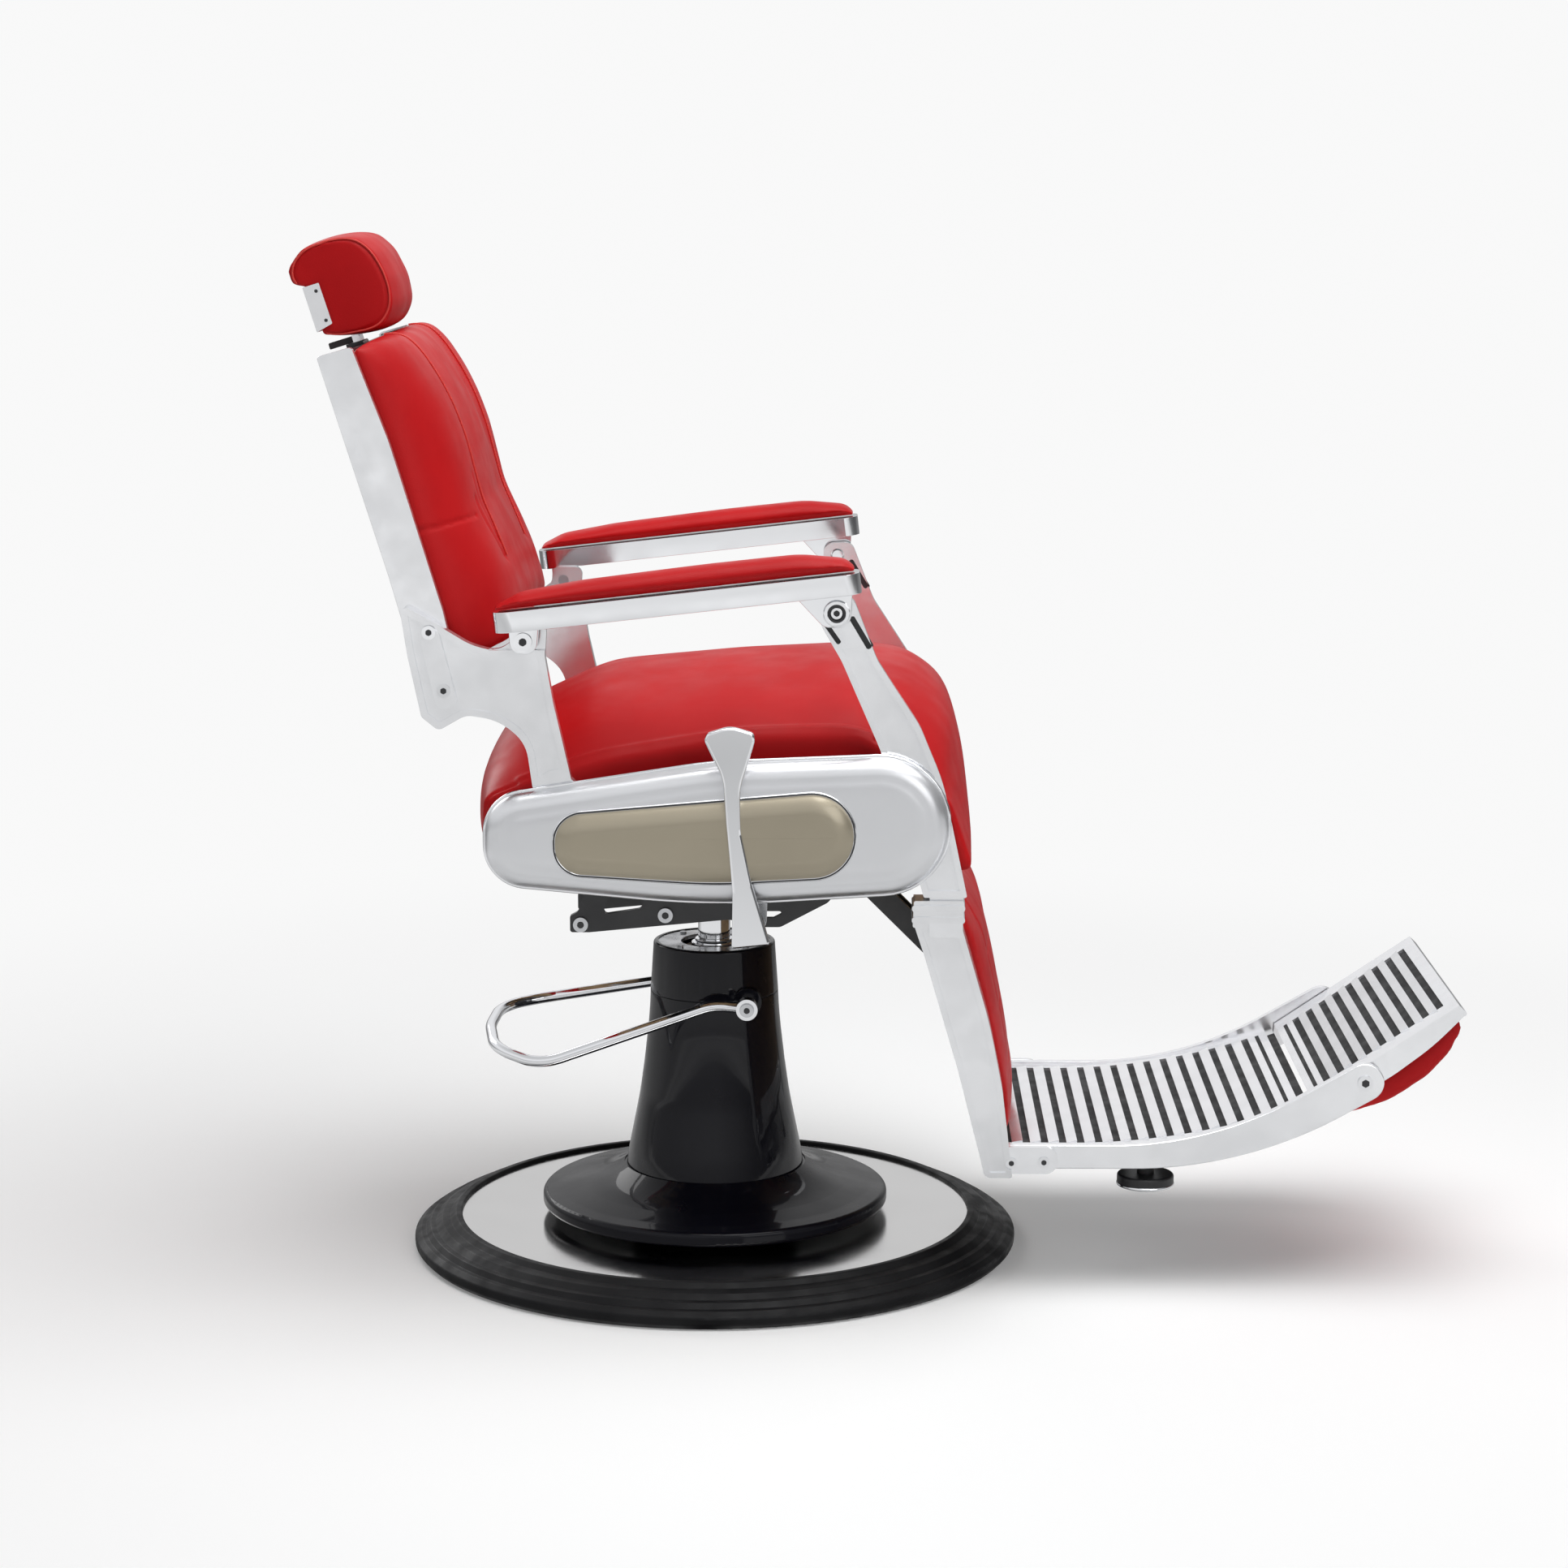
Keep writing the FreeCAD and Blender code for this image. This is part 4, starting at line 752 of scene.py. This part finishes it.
def soften(name, width):
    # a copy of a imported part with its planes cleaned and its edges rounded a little
    only(nodes[name])
    bpy.ops.object.duplicate()
    obj = bpy.context.object
    obj.name = name + "_soft"
    for key in [k for k in obj.keys() if k.startswith("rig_")]:
        del obj[key]
    body = nodes[name].get("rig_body")
    editing(obj)
    bpy.ops.mesh.remove_doubles(threshold=0.03 * mm)
    bpy.ops.mesh.dissolve_limited(angle_limit=math.radians(1), delimit={"SHARP"})
    bpy.ops.object.mode_set(mode="OBJECT")
    obj.parent = None
    applyModifier(obj, "BEVEL", width=width, segments=2, limit_method="ANGLE",
                  angle_limit=math.radians(32), use_clamp_overlap=True, miter_outer="MITER_ARC")
    bpy.ops.object.shade_smooth_by_angle(angle=math.radians(30))
    applyModifier(obj, "WEIGHTED_NORMAL", keep_sharp=True)
    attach(obj, body)
    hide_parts(name)


softened = {
    "back_brackets": 1.6, "leg_struts": 1.6, "leg_bars": 1.8, "footrest_rails": 1.4, "back_rails": 1.6,
    "arm_channel_right": 1.6, "arm_channel_left": 1.6, "recline_lever": 1.3, "flip_frame": 0.6,
    "headrest_post": 0.5, "column_housing": 2.0, "column_head": 1.2, "seat_mount": 0.8, "side_plates": 0.6,
    "leg_crank": 0.6, "foot_bumpers": 0.6,
}
for name, width in softened.items():
    soften(name, width * mm)
print("metal edges rounded on", len(softened), "nodes")


cover = {
    # x, z, radius
    "outline": [
        (-222, 541, 42), (9, 577, 500), (247, 587, 70), (247, 447, 69), (8, 431.5, 900), (-222, 453, 42),
    ],
    "panel": [(-151, 526.5, 30), (152, 553, 43), (152, 464, 43), (8, 456, 600), (-151, 466, 29)],
    # depth of the rim and of the panel's foot; how far in and out the edges and crowns go, and their rings
    "rim": 270, "edge": (20, 18, 10), "crown": (16, 2.2, 4), "sheet": 2.5 * mm,
    "panelFoot": 290, "panelEdge": (1.2, 0.8, 3), "panelCrown": (21, 8, 9),
    # thin lips: outline, depth, radius, finish and slot
    "lips": {
        "PanelLip": ("panel", 289.7, 2.1, "chrome", "polished_casting"),
        # a black cord inside the panel's lip: painted shadow, standing in for the lip's shadow on the panel
        "PanelGap": ("panel", 290.9, 1.1, "blackSteel", "black_steel"),
        "Rim": ("outline", 270, 2.4, "chrome", "polished_casting"),
    },
}


def stepsAlong(path):
    return [(b[0] - a[0], b[1] - a[1]) for a, b in zip(path, path[1:])]


def ellipseRings(reach, rise, rings):
    # inward and outward steps of a quarter of an ellipse
    angles = [math.pi / 2 * k / rings for k in range(rings + 1)]
    return stepsAlong([(reach * (1 - math.cos(a)), rise * math.sin(a)) for a in angles])


def crownRings(reach, rise, rings):
    # the same of a parabola
    return stepsAlong([(reach * k / rings, rise * (1 - (1 - k / rings) ** 2)) for k in range(rings + 1)])


def domed(name, outline, side, depth, rings):
    # a filled outline stepped inwards and outwards, ring by ring
    points = [upright(p.x, p.y, side * depth * mm) for p in roundedPoints(outline, 12)]
    obj = drawProfile(name, points)
    for inward, outward in rings:
        bpy.ops.mesh.inset(thickness=inward * mm, use_even_offset=True)
        bpy.ops.transform.translate(value=(0, side * outward * mm, 0))
    bpy.ops.mesh.select_all(action="SELECT")
    bpy.ops.mesh.normals_make_consistent(inside=False)
    return done(obj)


def makeCovers():
    for side, name in sides:
        rings = ellipseRings(*cover["edge"]) + crownRings(*cover["crown"])
        shell = domed("sideCover" + name, cover["outline"], side, cover["rim"], rings)
        applyModifier(shell, "SOLIDIFY", thickness=cover["sheet"], offset=-1)
        only(shell)
        bpy.ops.object.shade_smooth_by_angle(angle=math.radians(40))
        settle(shell, "satinShell", "seat", "polished_casting")
        rings = ellipseRings(*cover["panelEdge"]) + crownRings(*cover["panelCrown"])
        panel = domed("coverPanel" + name, cover["panel"], side, cover["panelFoot"], rings)
        settle(panel, "champagnePanel", "seat", "champagne_panel")
        if name == "Right":
            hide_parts("side_shells")
            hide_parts("shell_inlays")
        for part, (outline, y, radius, finish, slot) in cover["lips"].items():
            points = [upright(p.x, p.y, side * y * mm) for p in roundedPoints(cover[outline], 12)]
            # a cord along each outline; the black one inside the panel's lip is painted shadow
            settle(tube("cover" + part + name, points, radius * mm, closed=True), finish, "seat", slot)


makeCovers()
print("side covers made")


# black hexagons for the sockets in the screw heads, painted shade standing in for the dark inside each
# recess: node, x, depth of the head's face, z and radius, in mm
sockets = [
    ("back_fasteners", -276, 269.5, 708, 3.4), ("back_fasteners", -262, 269.5, 649, 3.4),
    ("back_fasteners", -180, 288, 701, 4.2), ("headrest_post", -405.4, 102.2, 1041.3, 2.0),
    ("headrest_post", -395.7, 102.2, 1011.3, 2.0), ("arm_channel", 133, 285, 730, 3.0),
    ("cradle_bolts", -141, 68, 366.5, 3.9), ("cradle_bolts", -50, 68, 377, 3.9),
    ("leg_screws", 317, 194, 140, 3.0), ("leg_screws", 351, 194, 141, 3.0),
    ("leg_screws", 685.5, 187, 225.6, 4.4), ("pedal_screws", 38, 105, 281.5, 3.5),
]
socketSetting = {"depth": 1.2 * mm, "sunk": 0.2, "edge": 0.15 * mm}


def makeSockets():
    for number, (node, x, face, z, radius) in enumerate(sockets):
        for side, name in sides:
            bpy.ops.mesh.primitive_cylinder_add(
                vertices=6, radius=radius * mm, depth=socketSetting["depth"], rotation=(math.pi / 2, 0, 0),
                location=(x * mm, side * (face - socketSetting["sunk"]) * mm, z * mm),
            )
            socket = bpy.context.object
            socket.name = "socket" + str(number) + name
            editing(socket)
            bpy.ops.mesh.bevel(offset=socketSetting["edge"], segments=1)
            owner = node if node in nodes else node + "_" + name.lower()
            # black, as painted shade inside the socket
            settle(done(socket, 30), "blackSteel", nodes[owner]["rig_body"], "black_steel")


bumperRing = {"up": 3, "inside": 1.2, "thickness": 2}


def makeBumperRings():
    # a bright ring round the foot of each black knurled bumper
    low, high = (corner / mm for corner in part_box("foot_bumpers"))
    radius = (high[0] - low[0]) / 2
    for y, name in ((low[1] + radius, "Right"), (high[1] - radius, "Left")):
        place = ((low[0] + high[0]) / 2, y, low[2] + bumperRing["up"])
        band = torus("bumperRing" + name, place, radius - bumperRing["inside"], bumperRing["thickness"])
        settle(band, "chrome", nodes["foot_bumpers"]["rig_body"], "chrome")


# the tread's pattern carried over the hinge: node, x, z, slope, length, half width and thickness, in mm
treadLines = [
    ("footrest_tread", 610.5, 192.1, 20, 4.5, 157, 0.8), ("footrest_tread", 626.2, 192.3, 20, 10.5, 157, 4),
    ("flip_frame", 640.7, 209.4, 34.17, 4.5, 140, 0.8),
]


def makeTreadLines():
    for number, (node, x, z, slope, length, halfWidth, thickness) in enumerate(treadLines):
        bpy.ops.mesh.primitive_cube_add(
            size=1, location=(x * mm, 0, z * mm), rotation=(0, -math.radians(slope), 0),
            scale=(length * mm, 2 * halfWidth * mm, thickness * mm),
        )
        line = bpy.context.object
        line.name = "treadLine" + str(number)
        only(line)
        bpy.ops.object.transform_apply(location=True, rotation=True, scale=True)
        applyModifier(line, "BEVEL", width=0.3 * mm, segments=1)
        settle(line, "blackRubber", nodes[node]["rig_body"], "black_rubber")


# black plates in the slots of the struts, painted shade standing in for the dark inside them, and the dark
# bush round each arm's front pin
strut = {
    "slots": [
        [(118.5, 716, 2), (134, 694, 2), (139.5, 699, 2), (124, 721, 2)],
        [(143.5, 723, 2), (164, 689, 2), (170.5, 694, 2), (150, 728, 2)],
    ],
    "slotDepth": (253.5, 255.5), "bushPlace": (133, 284.6, 730), "bushRadius": 8.2, "bushThickness": 2,
}


def makeStrutDetails():
    for side, name in sides:
        stations = [side * depth * mm for depth in strut["slotDepth"]]
        for number, outline in enumerate(strut["slots"]):
            back = profileBlock("strutSlot" + str(number) + name, outline, upright, stations)
            # black, as painted shade inside the slot
            settle(done(back, 30), "blackSteel", nodes["leg_struts"]["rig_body"], "black_steel")
        x, y, z = strut["bushPlace"]
        bush = torus("armBush" + name, (x, side * y, z), strut["bushRadius"], strut["bushThickness"],
                     rotation=(math.pi / 2, 0, 0))
        settle(bush, "blackSteel", nodes["arm_channel_" + name.lower()]["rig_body"], "black_steel")


makeSockets()
makeBumperRings()
makeTreadLines()
makeStrutDetails()
print("sockets, bumper rings, tread lines and strut details made")


seatPad = {
    # x, z, radius: from the rear hem over the top to the front hem, then back under the pad
    "outline": [
        (-212, 469, 4), (-234, 470, 8), (-240, 500, 60), (-238, 562, 60), (-190, 604, 60), (-112, 640, 110),
        (30, 652, 500), (150, 658, 300), (205, 656, 60), (250, 624, 60), (264, 556, 200), (273, 459, 7),
        (247, 459, 5), (246, 486, 3), (-212, 486, 3),
    ],
    "half": 0.237, "voxel": 6 * mm, "cap": 5 * mm, "hold": 5 * mm,
    "seamWidth": 2.4 * mm, "seamDepth": 2.0 * mm, "smooth": 5,
    # x and height of the crease at the sides, where the top turns down into an upright band
    "crease": [(-250, 560), (-196, 566), (-143, 579), (-103, 586), (-61, 593), (-13, 600), (46, 607),
               (112, 609), (160, 603), (205, 588), (240, 562), (262, 545)],
    # where across the pad the top turns down, how sharply, and how far the band drops beyond
    "turn": 0.955, "crown": 2.3, "drop": 10, "creaseWidth": 4 * mm, "creaseRise": 1.6 * mm,
    # the part that is shaped, by height, and how far the ends are drawn in at the sides, and where
    "level": 530, "top": 656, "fore": 16, "foreRun": (120, 270), "foreHeight": (470, 530),
    "aft": 12, "aftRun": (-100, -240), "bow": 1.6,
    # the pan under the pad, and the depth and height of the band held upright by its board
    "panTop": 0.49, "panMiddle": 0.015, "panHalf": 0.235, "board": 0.2345, "boardTop": 14 * mm,
    "corners": [
        [(176, 600), (204, 589), (226, 572), (240, 548), (247, 520), (250, 485)],
        [(190, 590), (212, 577), (227, 558), (234, 536), (238, 505)],
        [(-228, 474), (-229, 510), (-222, 545), (-200, 566)],
    ],
}


def shapeSeat(obj):
    # the top slopes down to a crease along both sides, then drops straight
    co = places(obj)
    x, z, across = co[:, 0] / mm, co[:, 2] / mm, np.abs(co[:, 1]) / seatPad["half"]
    turn, level, top = seatPad["turn"], seatPad["level"], seatPad["top"]
    crown = rising(across, 0, turn) ** seatPad["crown"]
    fall = (top - np.interp(x, *zip(*seatPad["crease"]))) * crown
    fall = fall + seatPad["drop"] * rising(across, turn, 1) ** 2
    z = z - rising(z, level, top) * fall
    fore = seatPad["fore"] * (rising(x, *seatPad["foreRun"]) * rising(z, *seatPad["foreHeight"]))
    aft = seatPad["aft"] * rising(x, *seatPad["aftRun"])
    x = x + (aft - fore) * crown ** seatPad["bow"]
    co[:, 0], co[:, 2] = x * mm, z * mm
    moveTo(obj, co)


def seatRests(co):
    pan = (co[:, 2] < seatPad["panTop"]) & (np.abs(co[:, 0] - seatPad["panMiddle"]) < seatPad["panHalf"])
    crease = np.interp(co[:, 0] / mm, *zip(*seatPad["crease"])) * mm
    band = (np.abs(co[:, 1]) > seatPad["board"]) & (co[:, 2] < crease - seatPad["boardTop"])
    return pan | band


def makeSeat():
    obj = drawPad("seatCushion", seatPad, upright)
    shapeSeat(obj)
    seams, creases = [], []
    for side, _ in sides:
        y = side * seatPad["half"]
        creases.append([upright(x, z, y * seatPad["turn"]) for x, z in seatPad["crease"][1:-1]])
        seams += [[upright(x, z, y) for x, z in corner] for corner in seatPad["corners"]]
    makePad(obj, seatPad, seatRests, seams, held=creases)
    for crease in creases:
        sewIn(obj, laidOn(obj, crease), seatPad["creaseWidth"], -seatPad["creaseRise"])
    upholster(obj, "seat", 0.8, "seat_cushion", "seat_aprons")


backPad = {
    # s, t, radius: up the rear face, over the top, down the front along the two ridges
    "outline": [
        (4, 16, 4), (292, 16, 6), (298, 34, 14), (299, 48, 16), (291, 61, 24), (273, 72, 80), (237, 82, 120),
        (209, 86.5, 160), (173, 88.5, 160), (130, 85.5, 100), (107, 84, 60), (89, 86, 60), (58, 89, 100),
        (34, 90.5, 100), (-5, 90, 60), (-29, 90, 16), (-37, 72, 26), (-20, 36, 14),
    ],
    "half": 0.2355, "voxel": 6 * mm, "cap": 4 * mm, "hold": 4 * mm,
    "seamWidth": 2.0 * mm, "seamDepth": 1.6 * mm, "smooth": 10,
    # the sewn ridges: how far from the middle, how high and wide, and the valley beside each
    "ridge": 108, "ridgeRise": 1.8, "ridgeWidth": 8, "valley": 82, "valleyDepth": 3.5, "valleyWidth": 16,
    # and from where to where they begin: by depth, upwards, downwards, and the valley upwards
    "fore": (30, 75), "foot": (-40, -10), "head": (300, 270), "valleyFoot": (100, 180),
    "ridgeLine": [(299, 40), (297, 52), (291.5, 60), (273, 72), (237, 82), (209, 87), (173, 89), (130, 87),
                  (99, 87), (70, 89), (44, 91)],
    # where the bolsters turn back, by height, and the depths of the rails and of the rear board's face
    "turn": [(-40, 178), (20, 160), (90, 145), (300, 138)], "rails": 22, "panel": 24,
    # the fall of the upper corners, by height and by width
    "shoulder": 2, "shoulderRise": (230, 300), "shoulderReach": (120, 236), "shoulderCurve": 2.2,
    # s, t, y of the seam across each flank, and s, y of the folds near the arms
    "flank": [(104, 24, 236), (101, 47, 232), (100, 63, 218), (98, 76, 190), (97, 80, 172)],
    "folds": [
        [(112, 152), (98, 150), (84, 146), (58, 132), (42, 116)],
        [(136, 134), (112, 132), (88, 126), (64, 116)],
    ],
    "foldFront": 88, "foldWidth": 5 * mm, "foldDepth": 1.8 * mm,
    "piping": (1.2 * mm, 0.8 * mm),  # radius and lift
}


def shapeBack(obj):
    # a centre panel between two sewn ridges, and bolsters that round back to the rails
    co = places(obj)
    s, t = backCoordinates(co)
    y = np.abs(co[:, 1]) / mm
    half = backPad["half"] / mm
    front = rising(t, *backPad["fore"]) * rising(s, *backPad["foot"]) * rising(s, *backPad["head"])
    ridge = backPad["ridgeRise"] * bump(y - backPad["ridge"], backPad["ridgeWidth"])
    valley = backPad["valleyDepth"] * bump(y - backPad["valley"], backPad["valleyWidth"])
    t = t + front * (ridge - valley * rising(s, *backPad["valleyFoot"]))
    over = rising(y, np.interp(s, *zip(*backPad["turn"])), half)
    rails = backPad["rails"]
    t = np.where(t > rails, rails + (t - rails) * np.sqrt(np.clip(1 - over ** 2, 0.0004, 1)), t)
    reach = rising(y, *backPad["shoulderReach"]) ** backPad["shoulderCurve"]
    s = s - backPad["shoulder"] * rising(s, *backPad["shoulderRise"]) * reach
    moveTo(obj, [onBack(*place) for place in zip(s, t, co[:, 1])])


def makeBack():
    obj = drawPad("backCushion", backPad, onBack)
    shapeBack(obj)
    seams, ridges, folds = [], [], []
    for side, _ in sides:
        ridges.append([onBack(s, t, side * backPad["ridge"] * mm) for s, t in backPad["ridgeLine"]])
        seams.append([onBack(s, t, side * y * mm) for s, t, y in backPad["flank"]])
        for fold in backPad["folds"]:
            folds.append([onBack(s, backPad["foldFront"], side * y * mm) for s, y in fold])
    makePad(obj, backPad, lambda co: backCoordinates(co)[1] < backPad["panel"], seams, held=ridges)
    for fold in folds:
        sewIn(obj, laidOn(obj, fold), backPad["foldWidth"], backPad["foldDepth"])
    upholster(obj, "back", 0.85, "back_cushion")
    pipe(obj, "backPiping", "back", ridges, *backPad["piping"])


headPad = {
    # s, t, radius: the bean-shaped end, with a nose at the rear over the chrome yoke
    "outline": [
        (305, 14, 24), (303, 44, 22), (322, 62, 30), (352, 65, 40), (382, 60, 30), (404, 46, 24),
        (411, 18, 60), (410, -16, 30), (393, -37, 12), (375, -37, 8), (369, -22.5, 3), (316, -22.5, 8),
        (309, -8, 20),
    ],
    "half": 0.0955, "voxel": 4 * mm, "cap": 3 * mm, "hold": 3 * mm,
    "seamWidth": 1.8 * mm, "seamDepth": 1.5 * mm, "smooth": 4,
    # how far the ends are drawn in: all over, and more at the front, top and bottom; then the yoke's face
    "over": 1, "front": 5, "frontRun": (10, 60), "top": 2.5, "topRun": (360, 410),
    "bottom": 3, "bottomRun": (345, 310), "curve": 2.6, "narrowing": 0.07, "yoke": -20,
    # the seam of the end panel, where the piping runs, and the piping's radius and lift
    "seam": [
        (315, -19), (311, -8), (309, 6), (307.5, 20), (309, 32), (316, 45), (330, 55), (354, 58.5),
        (378, 54.5), (396, 45), (406, 31), (408, 8), (405, -12), (396, -27), (384, -34), (374, -33),
    ],
    "piping": (1.1 * mm, 0.4 * mm),
}


def makeHeadrest():
    obj = drawPad("headrestPad", headPad, onBack)
    co = places(obj)
    s, t = backCoordinates(co)
    # full in the middle, drawn in to the end panels' seams, and a little narrower at the front
    over = rising(np.abs(co[:, 1]), 0, headPad["half"]) ** headPad["curve"]
    front = rising(t, *headPad["frontRun"])
    t = t - (headPad["front"] * front + headPad["over"]) * over * (t > headPad["yoke"])
    top = headPad["top"] * rising(s, *headPad["topRun"])
    bottom = headPad["bottom"] * rising(s, *headPad["bottomRun"]) * (t > headPad["yoke"])
    s = s + (bottom - top) * over
    across = co[:, 1] * (1 - headPad["narrowing"] * front)
    moveTo(obj, [onBack(*place) for place in zip(s, t, across)])
    seams = [[onBack(s, t, side * headPad["half"]) for s, t in headPad["seam"]] for side, _ in sides]
    makePad(obj, headPad, lambda co: backCoordinates(co)[1] < headPad["yoke"], seams)
    upholster(obj, "headrest", 0.9, "headrest_pad")
    pipe(obj, "headrestPiping", "headrest", seams, *headPad["piping"])


armPad = {
    # along the tray, up from it, radius
    "outline": [
        (4, 2, 0), (5, 6, 4), (30, 16, 40), (90, 20.5, 200), (220, 22.5, 900), (310, 22.5, 120),
        (360, 13, 20), (364, 2, 0),
    ],
    "slope": math.radians(6.42), "start": (-210, 732), "middle": 0.285, "half": 0.0235,
    "voxel": 3 * mm, "cap": 3.5 * mm, "smooth": 3,
    # heights where the crown begins and where the tray ends, the crown's fall, and how the ends are drawn in
    "edge": 3, "tray": 4, "crown": 0.55, "ends": 0.75, "rearRun": (18, 0), "foreRun": (350, 368),
}


def onArm(u, v, y):
    x, z, cos, sin = slanted(armPad)
    return upright(x + u * cos - v * sin, z + u * sin + v * cos, y)


def armCoordinates(co):
    x, z, cos, sin = slanted(armPad)
    dx, dz = co[:, 0] / mm - x, co[:, 2] / mm - z
    return dx * cos + dz * sin, -dx * sin + dz * cos


def makeArm(side, name):
    half, middle, edge = armPad["half"], side * armPad["middle"], armPad["edge"]
    obj = drawPad("armPad" + name, armPad, lambda u, v, y: onArm(u, v, y + middle))
    co = places(obj)
    u, v = armCoordinates(co)
    across = (co[:, 1] - middle) / half
    v = np.where(v > edge, edge + (v - edge) * (1 - armPad["crown"] * np.abs(across) ** 3), v)
    ends = rising(u, *armPad["rearRun"]) ** 2 + rising(u, *armPad["foreRun"]) ** 2
    squeeze = np.sqrt(np.clip(1 - armPad["ends"] * np.clip(ends, 0, 1), 0.05, 1))
    moveTo(obj, [onArm(*place) for place in zip(u, v, middle + across * half * squeeze)])
    makePad(obj, armPad, lambda co: armCoordinates(co)[1] < armPad["tray"])
    upholster(obj, "arm_" + name.lower(), 0.9, "arm_pad_" + name.lower())


calfPad = {
    # x, z, radius: down the board, round the bottom hem and up the front
    "outline": [
        (248, 422, 3), (255, 378, 300), (275, 312, 900), (292, 244, 900), (308, 184, 400), (311, 172, 3),
        (320, 173, 9), (322, 214, 120), (312, 280, 400), (298, 345, 400), (288, 388, 50), (267, 421, 10),
    ],
    "half": 0.236, "voxel": 6 * mm, "cap": 4.5 * mm, "hold": 4 * mm,
    "seamWidth": 2.6 * mm, "seamDepth": 2 * mm, "smooth": 3,
    # the bars beside it: their middle and half thickness, the gap to them and the level of their heads
    "bar": 0.255, "barHalf": 0.011, "gap": 0.006, "barHead": 0.437, "lean": math.radians(12.8),
    # the board behind it, the fall of the front to the sides, and the sewn channels
    "boardTop": (0.246, 0.425), "boardSlope": 0.25, "crown": 0.45, "channels": 0.72,
    "sideSeam": [(268, 420), (293, 385), (304, 345), (318, 280), (328, 214), (324, 176)],
    "crossSeams": [(302, 360), (314, 300), (325, 240)],
}


def calfHalf(z):
    # the bars lean inwards below the seat, and the pad tapers with them
    lean = calfPad["lean"]
    face = calfPad["bar"] - calfPad["barHalf"] / math.cos(lean) - calfPad["gap"]
    return face - (calfPad["barHead"] - z) * math.tan(lean)


def calfBoard(z):
    x, top = calfPad["boardTop"]
    return x + (top - z) * calfPad["boardSlope"]


def makeCalf():
    obj = drawPad("calfPad", calfPad, upright)
    co = places(obj)
    across = co[:, 1] / calfPad["half"]
    co[:, 1] = across * calfHalf(co[:, 2])
    deep = co[:, 0] - calfBoard(co[:, 2])
    co[:, 0] -= np.where(deep > 6 * mm, deep * calfPad["crown"] * np.abs(across) ** 4, 0)
    moveTo(obj, co)
    seams, line = [], calfPad["sideSeam"]
    for side, _ in sides:
        seams.append([upright(x, z, side * calfHalf(z * mm) * calfPad["channels"]) for x, z in line])
    for x, z in calfPad["crossSeams"]:
        half = calfHalf(z * mm) * calfPad["channels"]
        seams.append([upright(x, z, half * k / 3) for k in range(-3, 4)])
    makePad(obj, calfPad, lambda co: co[:, 0] < calfBoard(co[:, 2]) + 1.5 * mm, seams)
    upholster(obj, "leg", 0.8, "calf_pad")


flipPad = {
    # x, z, radius: along the step's underside, then back along the pad; the cloth is held within the hem
    "outline": [
        (647, 193, 3), (712, 228, 250), (757, 263, 250), (784, 291, 3), (790, 279, 10), (778, 254, 30),
        (756, 229, 60), (716, 201, 90), (661, 183, 50), (647, 183, 3),
    ],
    "half": 0.163, "voxel": 5 * mm, "cap": 5 * mm, "smooth": 3, "hem": 3,
}


def flipRests(co):
    # along the step's underside, the outline's first four points
    x, z, _ = zip(*flipPad["outline"][:4])
    return co[:, 2] / mm > np.interp(co[:, 0] / mm, x, z) - flipPad["hem"]


def makeFlip():
    obj = drawPad("flipPad", flipPad, upright)
    makePad(obj, flipPad, flipRests)
    upholster(obj, "flip", 0.8, "flip_pad")


makeSeat()
print("seat upholstered")
makeBack()
print("back upholstered")
makeHeadrest()
print("headrest upholstered")
for side, name in sides:
    makeArm(side, name)
makeCalf()
makeFlip()
print("arms, calf pad and flip step upholstered")
